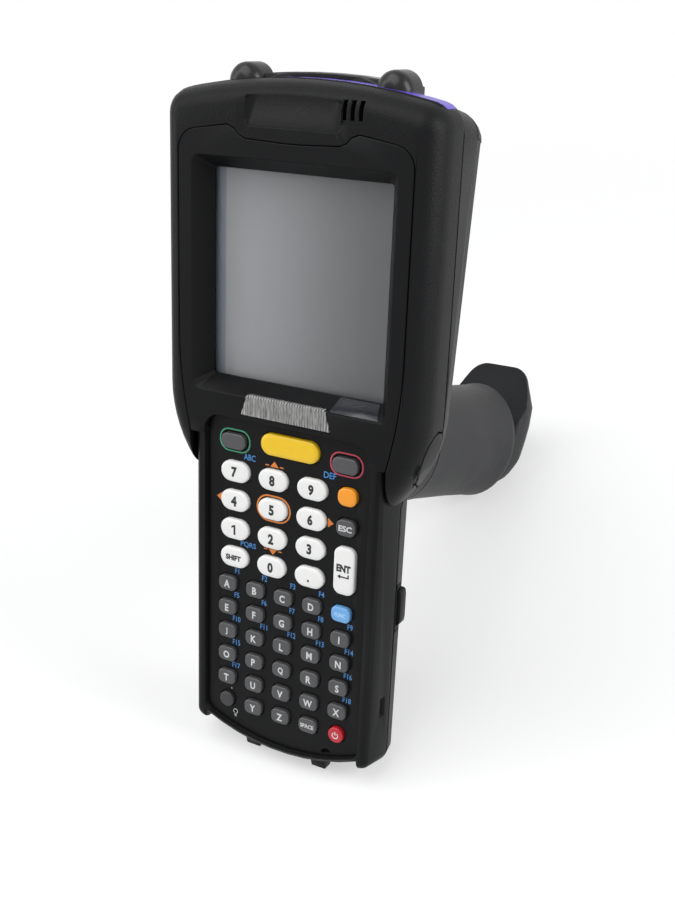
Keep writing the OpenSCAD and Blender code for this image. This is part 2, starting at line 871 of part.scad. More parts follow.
main_z = lcd_back - 0.3;
main_t = 1.6;
engine_z = [-23, main_z];

module main_board() {
    color("#1e5a3a") {
        prism([[-26, 27], [26, 27], [26, 40], [31, 46], [31, 98], [-31, 98], [-31, 46],
            [-26, 40]], main_z - main_t, main_z);
        translate([-6, 62, main_z - main_t - 2.4])
            cube([26, 22, 2.5]);
        translate([-22, 40, main_z - main_t - 1.6])
            cube([14, 14, 1.7]);
    }
}

module scan_engine() {
    color("#55585c") {
        translate([-16, 101, engine_z[0]])
            cube([32, 20.5, engine_z[1] - engine_z[0] - 1.4]);
        translate([-12, 121.4, engine_z[1] - 7])
            cube([24, 1.2, 5]);
    }
}

speaker_x = 17.3;

module speaker() {
    color("#3c3e41")
        translate([speaker_x, top_y - 11.8, panel_back - seat - 4])
            difference() {
                cylinder(r = 5.2, h = 4, $fn = 48);
                translate([0, 0, 3.4])
                    cylinder(r = 4, h = 1, $fn = 48);
            }
}

module backup_cell() {
    color("#b9bcc0")
        translate([-17, 74, main_z - main_t - 3.25])
            cylinder(r = 8, h = 3.2, $fn = 48);
}

// ---- battery
module contact_block(g) {
    translate([-9 - g, batt_top + batt_gap + 0.1 - g, bay_floor - 4 - g])
        cube([18 + 2 * g, 5 + 2 * g, 3.4 + 2 * g]);
}

module battery_contacts() {
    color("#c9a24a")
        difference() {
            contact_block(0);
            for (i = [-3:3])
                translate([i * 2.4 - 0.6, batt_top, bay_floor - 3.4])
                    cube([1.2, 1.2, 2.2]);
        }
}

// seat of one latch in the battery's ear, mirrored for the left side
latch_in = body_x - 5.7;
latch_z = [ear_z - 4.8, ear_z - 1.2];

module latch_body(g, x0, x1) {
    translate([x0, latch_y - latch_len / 2 - g, latch_z[0] - g])
        cube([x1 - x0, latch_len + 2 * g, latch_z[1] - latch_z[0] + 2 * g]);
}

module battery_pack() {
    color("#34363a")
        difference() {
            intersection() {
                back_solid();
                union() {
                    centred(batt_w, batt_len, 2.7, -60, bay_floor - batt_gap,
                        batt_top - batt_len / 2);
                    translate([-body_w, latch_y - ear_len / 2, -60])
                        cube([2 * body_w, ear_len, 60 + ear_z - batt_gap]);
                }
            }
            both_sides()
                latch_body(0.3, latch_in - latch_travel - 0.4, body_x + 9);
            // finger grooves across the back
            for (i = [0:3])
                translate([-13, batt_bottom + 9 + i * 3, -60])
                    cube([26, 1.4, 60 + back_z(batt_bottom) + 0.9]);
        }
}

module battery_latch() {
    difference() {
        latch_body(0, latch_in, body_x + latch_proud);
        for (i = [-1:1])
            translate([body_x + latch_proud - 0.4, latch_y + i * 3 - 0.6, latch_z[0] - 1])
                cube([1, 1.2, 8]);
    }
}

module battery_latch_right() {
    color("#232427")
        battery_latch();
}

module battery_latch_left() {
    color("#232427")
        mirror([1, 0, 0])
            battery_latch();
}

// ---- charging connector under the bottom rim
dock_w = 22;
dock_h = 4.6;
dock_y = [rim_y + 0.5, rim_y + 7.4];
dock_z = -14.5;

module dock_pocket() {
    translate([-dock_w / 2 - seat, rim_y - 5, dock_z - dock_h / 2 - seat])
        cube([dock_w + 2 * seat, dock_y[1] + seat - rim_y + 5, dock_h + 2 * seat]);
}

module dock_connector() {
    color("#17181a")
        difference() {
            translate([-dock_w / 2, dock_y[0], dock_z - dock_h / 2])
                cube([dock_w, dock_y[1] - dock_y[0], dock_h]);
            translate([-dock_w / 2 + 1.4, dock_y[0] - 1, dock_z - 1.1])
                cube([dock_w - 2.8, 4.6, 2.2]);
        }
}

// ---- scan end
window_x = 38.4;
window_z = -6.4;         // front edge of the scan window

module scan_window() {
    color([0.28, 0.2, 0.55, 0.85])
        difference() {
            prism(mirrored(head_half(0.7)), head_seam + fit, window_z);
            prism(mirrored(head_half(2.4)), head_seam - 2, window_z + 2);
            translate([-head_w, 0, -30])
                cube([2 * head_w, top_y - 11.8, 60]);
            for (s = [-1, 1])
                translate([s * (window_x + 10) - 10, 0, -30])
                    cube([20, 200, 60]);
        }
}

bumper_x = 27;
bumper_z = [-18.5, -13];
bumper_t = 2.2;

// band along the top edge, grown by g
module bumper_seat(g) {
    translate([0, 0, bumper_z[0] - g])
        linear_extrude(bumper_z[1] - bumper_z[0] + 2 * g)
            difference() {
                polygon(mirrored(head_half(-1.2)));
                polygon(mirrored(head_half(bumper_t + g)));
                translate([-head_w, 0])
                    square([2 * head_w, top_y - 12]);
                for (s = [-1, 1])
                    translate([s * (bumper_x + g + 20) - 20, 0])
                        square([40, 200]);
            }
}

module bump() {
    r = bump_r;
    c = 3.2;
    translate([bump_x, top_y - bump_drop + bump_rise - r, bumper_z[0]])
        rotate_extrude($fn = 48)
            polygon(concat([[0, 0]], arc(r - c, c, c, -90, 0, 6),
                arc(r - c, bump_front - bumper_z[0] - c, c, 0, 90, 6),
                [[0, bump_front - bumper_z[0]]]));
}

bump_front = -8;         // front end of the bumps, over the scan window
bump_drop = top_bow_r - sqrt(pow(top_bow_r, 2) - pow(bump_x, 2));

module top_bumper() {
    color("#242527")
        union() {
            bumper_seat(0);
            difference() {
                both_sides()
                    bump();
                prism(mirrored(head_half(0.6)), bumper_z[1] - eps, 0);
                prism(mirrored(head_half(bumper_t)), bumper_z[0] - 1, 0);
            }
        }
}

// ---- grip
function oval_ring(a, b, w, n = 48) =
    [for (i = [0:n - 1]) let (t = 360 * (i + 0.5) / n - 90) [a * cos(t), b * sin(t), w]];

grip_a = grip_w / 2;
grip_b = grip_d / 2;
base_top = -(grip_len - base_h);
core_end = base_top + seat;

// the flange follows the back of the unit, which isn't square to the grip
saddle_tilt = 0.185;

function tilted(ring) = [for (p = ring) [p[0], p[1], p[2] + saddle_tilt * p[1]]];

// outside of the grip above the sleeve, and its core below it
module grip_solid() {
    skin([oval_ring(core_w / 2 + 0.7, core_d / 2 + 1, core_end),
        oval_ring(core_w / 2, core_d / 2, core_end + 28),
        oval_ring(core_w / 2 - 0.5, core_d / 2 - 0.5, sleeve_top - 10),
        oval_ring(core_w / 2 - 0.5, core_d / 2 - 0.5, sleeve_top),
        oval_ring(grip_a - 0.5, grip_b - 0.5, sleeve_top + 0.1),
        tilted(oval_ring(grip_a - 0.5, grip_b, saddle_w - 5)),
        tilted(oval_ring(grip_a + 1.5, grip_b + 3.5, saddle_w)),
        tilted(oval_ring(grip_a + 2, grip_b + 6.5, saddle_w + 2.4)),
        tilted(oval_ring(grip_a + 2, grip_b + 6.5, 12))]);
}

module grip_hollow() {
    e = grip_wall;
    skin([oval_ring(core_w / 2 - e, core_d / 2 - e, core_end + 3),
        oval_ring(core_w / 2 - e, core_d / 2 - e, sleeve_top),
        oval_ring(core_w / 2 - e, core_d / 2 - e, -16)]);
}

saddle_w = -4;           // underside of the flange that meets the housing
saddle_screw = [7, 23];
saddle_boss_r = 3;
saddle_grip = 4;         // end of the flange screws in the housing
saddle_posts = [for (v = [-saddle_screw[1], saddle_screw[1]])
    [saddle_screw[0], grip_y + v * cos(grip_rake)]];

module at_saddle_screws() {
    for (v = [-1, 1])
        for (s = [-1, 1])
            translate([s * saddle_screw[0], v * saddle_screw[1],
                saddle_tilt * v * saddle_screw[1]])
                children();
}

// screws that join the halves, across the grip
half_screws = [[-4, -62], [-4, -100]];
half_screw_r = 1.5;
half_head_r = 2.6;
half_reach = 9;

module at_half_screws() {
    for (p = half_screws)
        translate([0, p[0], p[1]])
            rotate([0, 90, 0])
                children();
}

module across(r, x0, x1) {
    translate([0, 0, x0])
        cylinder(r = r, h = x1 - x0, $fn = 48);
}

module grip_shell() {
    difference() {
        union() {
            difference() {
                grip_solid();
                grip_hollow();
            }
            intersection() {
                grip_solid();
                union() {
                    at_half_screws()
                        across(4, -grip_a, grip_a);
                    translate([0, trig_v, trig_w])
                        rotate([0, 90, 0])
                            across(5, -grip_a, grip_a);
                    translate([0, base_screw_v, core_end])
                        cylinder(r = 4, h = base_screw_reach + 1, $fn = 48);
                }
            }
        }
        // slot of the trigger
        translate([-trig_half - trig_gap, trig_v - 8, trig_w - 34])
            cube([2 * (trig_half + trig_gap), 40, 38.1]);
        translate([0, trig_v, trig_w])
            rotate([0, 90, 0])
                across(pin_d / 2 + 0.02, -grip_w, grip_w);
        at_half_screws() {
            across(half_screw_r + 0.1, -half_reach - 1, half_reach + 1);
            across(half_head_r + 0.1, -grip_w, -half_reach);
        }
        at_saddle_screws() {
            translate([0, 0, saddle_w - 20])
                cylinder(r = screw_r + 0.15, h = 60, $fn = 32);
            translate([0, 0, saddle_w - 20])
                cylinder(r = screw_head_r + 0.2, h = 20 + saddle_seat - saddle_w, $fn = 32);
        }
        translate([0, base_screw_v, core_end - 1])
            cylinder(r = screw_r + 0.02, h = base_screw_reach + 1.5, $fn = 32);
        // seat of the switch block
        translate([-switch_x - seat, switch_v - seat, switch_w[0] - seat])
            cube([2 * (switch_x + seat), 6 + 2 * seat, switch_w[1] - switch_w[0] + 2 * seat]);
    }
}

saddle_seat = saddle_w + 1;

module grip_half(side) {
    difference() {
        on_grip()
            intersection() {
                grip_shell();
                translate([side > 0 ? 0.03 : -40.03, -60, -200])
                    cube([40, 120, 260]);
            }
        grip_top_cut();
    }
}

// the unit, grown by a hair, so that the flange follows its back
module grip_top_cut() {
    translate([0, 0, -seat])
        back_solid();
}

module grip_half_left() {
    color("#2c2d30")
        grip_half(-1);
}

module grip_half_right() {
    color("#2c2d30")
        grip_half(1);
}

module grip_sleeve() {
    g = 0.05;
    top = sleeve_top - 0.1;
    color("#2a2b2d")
        on_grip()
            band([oval_ring(grip_a - 0.5, grip_b - 0.5, top),
                oval_ring(core_w / 2 - 0.5 + g, core_d / 2 - 0.5 + g, top),
                oval_ring(core_w / 2 - 0.5 + g, core_d / 2 - 0.5 + g, sleeve_top - 10),
                oval_ring(core_w / 2 + g, core_d / 2 + g, core_end + 28),
                oval_ring(core_w / 2 + 0.7 + g, core_d / 2 + 1 + g, core_end + 2),
                oval_ring(grip_a + 0.4, grip_b + 0.9, core_end + 2),
                oval_ring(grip_a + 0.7, grip_b + 1.2, core_end + 2.6),
                oval_ring(grip_a + 0.6, grip_b + 1.1, core_end + 5),
                oval_ring(grip_a + 0.2, grip_b + 0.6, core_end + 9),
                oval_ring(grip_a, grip_b - 0.2, core_end + 30),
                oval_ring(grip_a - 0.8, grip_b - 0.8, sleeve_top - 12)]);
}

// base outline: round heel, flat sides, blunt toe
base_half = concat(arc(base_x - 1.5 - heel_corner, heel_corner - heel_d, heel_corner, -84, 0, 6),
    [[base_x - 0.6, 2], [base_x, 8], [base_x, 15]],
    arc(toe_flat, toe_reach - toe_corner, toe_corner, 25, 90, 5));

// rounded sole, each ring scaled across, at the heel and at the toe
module base_solid() {
    difference() {
        skin([for (r = base_rings) [for (p = mirrored(base_half))
            [p[0] * r[1], p[1] * (p[1] < 0 ? r[2] : r[3]), r[0]]]]);
        cross_prism([[toe_start - 1, base_top + 0.1], [toe_start + 1.5, base_top - 2.2],
            [toe_start + 5, base_top - 6.8], [toe_start + 10, base_top - 11.6],
            [toe_reach + 4, base_top - 19.5], [toe_reach + 4, base_top + 9],
            [toe_start - 1, base_top + 9]],
            -grip_w, grip_w);
    }
}

module grip_base() {
    color("#2a2b2e")
        on_grip()
            difference() {
                base_solid();
                translate([0, lanyard_v, lanyard_w])
                    rotate([0, 90, 0]) {
                        across(lanyard_d / 2, -grip_w, grip_w);
                        across(lanyard_d / 2 + 1.6, lanyard_l / 2, grip_w);
                        across(lanyard_d / 2 + 1.6, -grip_w, -lanyard_l / 2);
                    }
                translate([0, base_screw_v, -grip_len - 1]) {
                    cylinder(r = screw_head_r + 0.2, h = 4, $fn = 32);
                    cylinder(r = screw_r + 0.15, h = 40, $fn = 32);
                }
            }
}

lanyard_v = -6;
lanyard_w = -grip_len + 13;
lanyard_l = 19;          // length of the hole between its sunk rims
base_screw_v = 4;
base_screw_reach = 9;    // how far the base screw goes into the halves

module grip_screws() {
    color("#8d8f92")
        on_grip() {
            at_half_screws()
                screw(-half_reach, half_reach);
            at_saddle_screws()
                screw(saddle_seat - seat / 2, saddle_grip);
            translate([0, base_screw_v, 0])
                screw(-grip_len + 3 - seat / 2, core_end + base_screw_reach);
        }
}

// ---- trigger group
switch_x = 4.6;
switch_v = -2;
switch_w = [-36, -26];

module trigger() {
    body = [[trig_v - 3.6, trig_w], [trig_v - 3.4, trig_w - 2], [trig_v - 3, trig_w - 12],
        [trig_v - 4, trig_w - 31], [trig_v - 2, trig_w - 32.5], [trig_v + 7, trig_w - 32.5],
        [trig_v + 10.5, trig_w - 29.5], [trig_v + 10.2, trig_w - 24],
        [trig_v + 8.4, trig_w - 17], [trig_v + 7.6, trig_w - 9], [trig_v + 6.4, trig_w - 3],
        [trig_v + 3.6, trig_w]];
    color("#35363a")
        on_grip()
            difference() {
                union() {
                    cross_prism(body, -trig_half, trig_half);
                    translate([0, trig_v, trig_w])
                        rotate([0, 90, 0])
                            across(3.6, -trig_half, trig_half);
                }
                translate([0, trig_v, trig_w])
                    rotate([0, 90, 0]) {
                        across(pin_d / 2 + run_gap, -grip_w, grip_w);
                        across(4.4, -spring_half, spring_half);
                    }
                cross_prism([[trig_v - 6, trig_w + 1], [trig_v + 1, trig_w + 1],
                    [trig_v + 1, trig_w - 9], [trig_v - 6, trig_w - 9]],
                    -spring_half, spring_half);
            }
}

spring_half = 2.6;

module trigger_pin() {
    half = grip_a * sqrt(1 - pow(trig_v / grip_b, 2)) - 1.2;
    color("#b4b7bb")
        on_grip()
            translate([0, trig_v, trig_w])
                rotate([0, 90, 0])
                    across(pin_d / 2, -half, half);
}

// coils of the return spring round the pin, with a leg to the switch block
spring_wire = 0.4;
spring_r = 2.4;
leg_tilt = 29;           // slope of the leg to the grip's axis

module trigger_spring() {
    color("#c4c7ca")
        on_grip()
            translate([0, trig_v, trig_w]) {
                rotate([0, 90, 0])
                    for (i = [-2:2])
                        translate([0, 0, i * 0.92])
                            rotate_extrude($fn = 48)
                                translate([spring_r, 0])
                                    circle(r = spring_wire, $fn = 16);
                translate([0, -spring_r * cos(leg_tilt), spring_r * sin(leg_tilt)])
                    rotate([180 - leg_tilt, 0, 0])
                        cylinder(r = spring_wire * 0.8, h = 20.4, $fn = 16);
            }
}

module trigger_switch() {
    color("#1b1c1e")
        on_grip() {
            translate([-switch_x, switch_v, switch_w[0]])
                cube([2 * switch_x, 6, switch_w[1] - switch_w[0]]);
            translate([0, switch_v + 5.9, (switch_w[0] + switch_w[1]) / 2])
                rotate([-90, 0, 0])
                    cylinder(r = 1.6, h = 3.5, $fn = 32);
            // bracket across the hollow
            translate([-core_w / 2 + grip_wall + 0.7, switch_v, switch_w[0]])
                cube([core_w - 2 * grip_wall - 1.4, 2, switch_w[1] - switch_w[0]]);
        }
}

// ---- draws, one line per piece
stand() front_bezel();
stand() head_shroud();
stand() rear_housing();
stand() housing_seal();
stand() housing_screws();
stand() touch_panel();
stand() lcd_module();
stand() keypad_plate();
stand() keymat();
stand() keypad_board();
stand() light_bar();
stand() top_bumper();
stand() scan_window();
stand() scan_engine();
stand() main_board();
stand() speaker();
stand() backup_cell();
stand() battery_contacts();
stand() headset_jack();
stand() dock_connector();
stand() grip_half_left();
stand() grip_half_right();
stand() grip_sleeve();
stand() grip_base();
stand() grip_screws();
stand() trigger();
stand() trigger_pin();
stand() trigger_spring();
stand() trigger_switch();
stand() battery_pack();
stand() battery_latch_left();
stand() battery_latch_right();
stand() jack_cover();
stand() one_key("#f2c12e", SCAN);  // scan_key
stand() one_key("#6a6d70", ACTION_L);  // action_key_left
stand() one_key("#6a6d70", ACTION_R);  // action_key_right
stand() one_key("#f08a24", ORANGE);  // orange_key
stand() one_key("#6a6d70", ESCAPE);  // escape_key
stand() one_key("#e9e9e6", ENTER);  // enter_key
stand() one_key("#5aa0e0", BLUE);  // blue_key
stand() one_key("#c23a3f", POWER);  // power_key
stand() one_key("#6a6d70", BACKLIGHT);  // backlight_key
stand() one_key("#e9e9e6", oval(0, 0));  // key_7
stand() one_key("#e9e9e6", oval(1, 0));  // key_8
stand() one_key("#e9e9e6", oval(2, 0));  // key_9
stand() one_key("#e9e9e6", oval(0, 1));  // key_4
stand() one_key("#e9e9e6", oval(1, 1));  // key_5
stand() one_key("#e9e9e6", oval(2, 1));  // key_6
stand() one_key("#e9e9e6", oval(0, 2));  // key_1
stand() one_key("#e9e9e6", oval(1, 2));  // key_2
stand() one_key("#e9e9e6", oval(2, 2));  // key_3
stand() one_key("#e9e9e6", oval(0, 3));  // shift_key
stand() one_key("#e9e9e6", oval(1, 3));  // key_0
stand() one_key("#e9e9e6", oval(2, 3));  // point_key
stand() letter_row(0);  // letter_row_1
stand() letter_row(1);  // letter_row_2
stand() letter_row(2);  // letter_row_3
stand() letter_row(3);  // letter_row_4
stand() letter_row(4);  // letter_row_5
stand() letter_row(5);  // letter_row_6
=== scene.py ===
import json
import math

import bmesh
import bpy
from mathutils import Matrix, Vector


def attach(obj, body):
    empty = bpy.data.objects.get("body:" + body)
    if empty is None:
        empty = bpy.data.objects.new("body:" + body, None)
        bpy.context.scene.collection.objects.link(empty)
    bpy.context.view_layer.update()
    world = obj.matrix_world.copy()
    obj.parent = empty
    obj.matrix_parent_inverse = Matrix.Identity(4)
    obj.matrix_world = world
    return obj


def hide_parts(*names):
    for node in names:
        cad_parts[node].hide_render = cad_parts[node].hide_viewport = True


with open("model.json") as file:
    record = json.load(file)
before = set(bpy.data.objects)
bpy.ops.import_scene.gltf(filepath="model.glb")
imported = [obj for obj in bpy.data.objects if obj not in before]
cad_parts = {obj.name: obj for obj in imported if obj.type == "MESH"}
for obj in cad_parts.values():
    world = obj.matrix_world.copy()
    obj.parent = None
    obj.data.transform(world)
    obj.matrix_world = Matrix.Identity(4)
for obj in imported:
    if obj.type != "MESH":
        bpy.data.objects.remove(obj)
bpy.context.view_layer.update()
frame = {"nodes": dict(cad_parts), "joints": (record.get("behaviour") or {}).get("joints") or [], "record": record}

scene = bpy.context.scene
nodes = frame["nodes"]
joints = {j["name"]: j for j in frame["joints"]}
bodyOf = {node: body for body, members in frame["record"]["behaviour"]["bodies"].items()
          for node in members}

# the terminal's own axes: X across it, Y along it to the scan end, Z out of the keypad, in mm
pressAxis = Vector(joints["key_5_press"]["axis"])
sinLean, cosLean = -pressAxis.z, pressAxis.y
flapPost = (41, 42.2, -8.5)       # the jack cover's hinge in those axes
flapPlace = Vector(joints["jack_cover_hinge"]["pos_m"])
leanBack = Matrix(((1, 0, 0), (0, sinLean, -cosLean), (0, cosLean, sinLean)))
terminalAxes = (Matrix.Translation(flapPlace - leanBack @ (Vector(flapPost) / 1000))
                @ leanBack.to_4x4() @ Matrix.Scale(0.001, 4))

# the pistol grip's axes: X across it, V ahead of its middle, W up along it, in mm
grip = {"y": 25.5, "z": -26.2, "rake": math.radians(14.8)}
gripAxes = terminalAxes @ Matrix((
    (1, 0, 0, 0),
    (0, math.cos(grip["rake"]), math.sin(grip["rake"]), grip["y"]),
    (0, -math.sin(grip["rake"]), math.cos(grip["rake"]), grip["z"]),
    (0, 0, 0, 1)))
print("axes set, the terminal leans back", round(math.degrees(math.atan2(sinLean, cosLean)), 2))


class Wire:
    # one output socket, with the sums that can be done on it
    def __init__(self, maker, socket):
        self.maker, self.socket = maker, socket

    def sum(self, operation, *values):
        return self.maker.make("ShaderNodeMath", {"operation": operation}, None, *values)

    def __add__(self, other): return self.sum("ADD", self, other)
    def __radd__(self, other): return self.sum("ADD", other, self)
    def __sub__(self, other): return self.sum("SUBTRACT", self, other)
    def __rsub__(self, other): return self.sum("SUBTRACT", other, self)
    def __mul__(self, other): return self.sum("MULTIPLY", self, other)
    def __rmul__(self, other): return self.sum("MULTIPLY", other, self)
    def __truediv__(self, other): return self.sum("DIVIDE", self, other)
    def __rtruediv__(self, other): return self.sum("DIVIDE", other, self)
    def __gt__(self, other): return self.sum("GREATER_THAN", self, other)
    def __lt__(self, other): return self.sum("LESS_THAN", self, other)

    def most(self, other): return self.sum("MAXIMUM", self, other)

    def ease(self, low, high):
        return self.maker.make("ShaderNodeMapRange", {"interpolation_type": "SMOOTHSTEP"},
                               None, self, low, high, 0.0, 1.0)


class Maker:
    # adds nodes to a tree: settings first, then the values or wires of the sockets
    def make(self, kind, settings=None, result=None, *values, **named):
        node = self.tree.nodes.new(kind)
        for key, value in (settings or {}).items():
            setattr(node, key, value)
        for i, value in enumerate(values):
            self.plug(node.inputs[i], value)
        for key, value in named.items():
            self.plug(node.inputs[key.replace("_", " ")], value)
        return Wire(self, node.outputs[result] if result is not None else node.outputs[0])

    def plug(self, socket, value):
        if isinstance(value, Wire):
            self.tree.links.new(value.socket, socket)
        elif value is not None:
            if socket.type == "RGBA" and len(value) == 3:
                value = (*value, 1)
            socket.default_value = value

    def vector(self, x, y, z):
        return self.make("ShaderNodeCombineXYZ", {}, None, x, y, z)


class Finish(Maker):
    # one material round a Principled shader
    def __init__(self, name):
        self.material = bpy.data.materials.new(name)
        self.material.use_nodes = True
        self.tree = self.material.node_tree
        self.tree.nodes.clear()
        self.output = self.tree.nodes.new("ShaderNodeOutputMaterial")
        self.shader = self.tree.nodes.new("ShaderNodeBsdfPrincipled")
        self.tree.links.new(self.shader.outputs[0], self.output.inputs[0])
        self.place = self.make("ShaderNodeTexCoord", {}, "Object")

    def set(self, **values):
        for key, value in values.items():
            self.plug(self.shader.inputs[key.replace("_", " ")], value)

    def noise(self, scale, detail=2.0, roughness=0.5, place=None):
        return self.make("ShaderNodeTexNoise", {}, "Fac", Vector=place or self.place,
                         Scale=scale, Detail=detail, Roughness=roughness)

    def cells(self, scale, result="Distance"):
        return self.make("ShaderNodeTexVoronoi", {}, result, Vector=self.place, Scale=scale)

    def blend(self, factor, first, second):
        node = self.tree.nodes.new("ShaderNodeMix")
        node.data_type = "RGBA"
        for i, value in ((0, factor), (6, first), (7, second)):
            self.plug(node.inputs[i], value)
        return Wire(self, node.outputs[2])

    def bump(self, height, strength, distance):
        return self.make("ShaderNodeBump", {}, "Normal", Height=height, Strength=strength,
                         Distance=distance)

    def axes(self):
        node = self.tree.nodes.new("ShaderNodeSeparateXYZ")
        self.plug(node.inputs[0], self.place)
        return [Wire(self, node.outputs[i]) for i in range(3)]


def tinted(colour, factor):
    return tuple(min(1, c * factor) for c in colour)


def mouldedPlastic(name, colour, rough=0.42, grain=2300, depth=0.00004, pit=0.5, drift=0.14,
                   rubbed=0.25, shine=0.1):
    # spark-eroded black plastic: fine pits, broad drift in tone, faint rubbed patches, and bright specks that are
    # painted highlights
    f = Finish(name)
    pits = f.noise(grain, 3.0, 0.6)
    broad = f.noise(45, 3.0)
    patches = f.noise(170, 5.0, 0.65).ease(0.62, 0.78)
    # glints: painted highlight specks, brightened into the colour
    glints = (f.cells(grain * 0.9) < 0.16) * 0.5
    tone = f.blend(broad, tinted(colour, 1 - drift), tinted(colour, 1 + drift))
    tone = f.blend(patches * rubbed + glints * 0.2, tone, tinted(colour, 2.2))
    f.set(Base_Color=tone, Roughness=broad * 0.1 + pits * 0.12 + (rough - 0.11) - patches * 0.06,
          Normal=f.bump(pits, pit, depth), Specular_IOR_Level=shine)
    return f.material


def softRubber(name, colour, rough=0.55, grain=1500, drift=0.2, dust=0.2, shine=0.16):
    f = Finish(name)
    fine = f.noise(grain, 4.0, 0.55)
    broad = f.noise(60, 4.0)
    dusty = f.noise(24, 5.0, 0.6).ease(0.5, 0.8)
    tone = f.blend(broad, tinted(colour, 1 - drift), tinted(colour, 1 + drift))
    f.set(Base_Color=f.blend(dusty * dust, tone, tinted(colour, 2.0)),
          Roughness=fine * 0.1 + dusty * 0.1 + (rough - 0.09), Normal=f.bump(fine, 0.4, 0.00003),
          Specular_IOR_Level=shine)
    return f.material


def keyPlastic(name, colour, rough=0.38, handled=0.06):
    # a hard cap, a little duller where fingers have been
    f = Finish(name)
    fine = f.noise(3400, 2.0)
    broad = f.noise(420, 3.0)
    worn = f.noise(150, 4.0, 0.6).ease(0.55, 0.8)
    tone = f.blend(broad, tinted(colour, 0.95), tinted(colour, 1.03))
    f.set(Base_Color=f.blend(worn * handled, tone, tinted(colour, 0.7)),
          Roughness=broad * 0.14 + worn * 0.1 + (rough - 0.08), Normal=f.bump(fine, 0.18, 0.00002))
    return f.material


def metalFinish(name, colour, rough=0.34, grain=420):
    f = Finish(name)
    x, y, z = f.axes()
    drawn = f.noise(grain, 3.0, 0.6, place=f.vector(x * 8.0, y, z * 8.0))
    f.set(Base_Color=f.blend(drawn, tinted(colour, 0.8), tinted(colour, 1.1)), Metallic=1.0,
          Roughness=drawn * 0.22 + (rough - 0.1), Normal=f.bump(drawn, 0.12, 0.00002))
    return f.material


def printedInk(name, colour):
    f = Finish(name)
    patchy = f.noise(2600, 4.0)
    f.set(Base_Color=f.blend(patchy, tinted(colour, 0.86), tinted(colour, 1.06)),
          Roughness=patchy * 0.15 + 0.38)
    return f.material


def circuitBoard(name):
    f = Finish(name)
    tracks = f.make("ShaderNodeTexBrick", {"offset": 0.5}, "Fac", Vector=f.place, Scale=260.0,
                    Mortar_Size=0.03)
    pads = f.cells(900) < 0.2
    lacquer = f.blend(tracks, (0.012, 0.10, 0.05), (0.03, 0.17, 0.09))
    f.set(Base_Color=f.blend(pads, lacquer, (0.62, 0.56, 0.38)), Roughness=tracks * 0.1 + 0.32,
          Metallic=pads * 0.7, Normal=f.bump(tracks, 0.2, 0.00004))
    return f.material


def clearPane(name, colour, alpha, rough=0.06, coat=0.6):
    f = Finish(name)
    wiped = f.noise(30, 4.0, 0.55).ease(0.45, 0.8)
    f.set(Base_Color=f.blend(wiped, colour, tinted(colour, 1.15)),
          Roughness=wiped * 0.06 + rough, Alpha=wiped * 0.02 + alpha, Coat_Weight=coat,
          Coat_Roughness=0.04)
    return f.material


def ribbedClear(name, colour, linesPerMetre=1204.8):
    # clear plastic over a pale reflector, with painted highlights along the ribs and painted shade between them
    f = Finish(name)
    x, y, z = f.axes()
    streaks = f.noise(900, 3.0, 0.6, place=f.vector(x * 3.0, y * 0.4, z * 0.4))
    count = x * linesPerMetre + streaks * 0.8
    paintedRibShade = f.make("ShaderNodeMath", {"operation": "FRACT"}, None, count)
    tone = f.blend(streaks, tinted(colour, 0.6), tinted(colour, 1.3))
    # dark between the ribs is painted shade, the brighter tone along them is painted highlight
    f.set(Base_Color=f.blend(paintedRibShade.ease(0.62, 0.36), tone, tinted(colour, 0.16)),
          Roughness=streaks * 0.12 + 0.16, Coat_Weight=0.3, Coat_Roughness=0.05)
    return f.material


def offDisplay(name, pale, dim, edge, perWidth=18.5, strip=(-0.0243, -0.0252)):
    # an unlit display with a painted reflection: paler up its left side, darker to its right, with a bluish strip
    # at the left edge
    f = Finish(name)
    x, y, z = f.axes()
    # pale at the left to dim at the right: a painted reflection in the colour
    tone = f.blend((x * perWidth + 0.5).ease(0.0, 1.0), pale, dim)
    tone = f.blend(x.ease(*strip) * 0.8, tone, edge)
    haze = f.noise(70, 2.0)
    f.set(Base_Color=f.blend(haze * 0.05, tone, edge), Roughness=haze * 0.06 + 0.32)
    return f.material


# each finish's colour, then what sets it apart from the others of its kind
plastics = {
    "shell": ((0.0068, 0.0070, 0.0076), 0.4, 1700, 0.00012, 0.9),
    "bezel": ((0.0062, 0.0064, 0.0070), 0.42, 2500, 0.00003, 0.4),
    "plate": ((0.0056, 0.0058, 0.0063), 0.34, 3200, 0.00002, 0.2, 0.14, 0.12, 0.12),
    "rearShell": ((0.0068, 0.0070, 0.0076), 0.42, 1700, 0.00012, 0.9),
    "gripShell": ((0.0140, 0.0143, 0.0155), 0.48, 2000),
    "battery": ((0.013, 0.0133, 0.0145), 0.5, 2100),
    "latch": ((0.007, 0.0073, 0.008), 0.38, 3000, 0.00002, 0.3),
    "trigger": ((0.014, 0.0145, 0.017), 0.36, 3000, 0.00002, 0.3),
    "socket": ((0.005, 0.005, 0.006), 0.4, 3000, 0.00002, 0.3),
    "engine": ((0.11, 0.115, 0.125), 0.5, 1500),
    "speaker": ((0.03, 0.03, 0.032), 0.6, 1500)}
rubbers = {
    "sleeve": ((0.0140, 0.0144, 0.0158), 0.5),
    "bumper": ((0.0062, 0.0062, 0.0068), 0.34, 1500, 0.2, 0.1, 0.3),
    "seal": ((0.010, 0.010, 0.011), 0.7),
    "mat": ((0.10, 0.10, 0.105), 0.7),
    # near-black and unreflective: painted shade for the voice notch
    "notch": ((0.0016, 0.0016, 0.0018), 0.8, 1500, 0.2, 0.2, 0.02)}
caps = {
    "white": ((0.80, 0.80, 0.785),), "grey": ((0.060, 0.060, 0.063),),
    "dark": ((0.022, 0.022, 0.024), 0.42), "yellow": ((0.82, 0.52, 0.008),),
    "orange": ((0.86, 0.31, 0.012),), "blue": ((0.15, 0.38, 0.72),),
    "red": ((0.48, 0.012, 0.024),)}
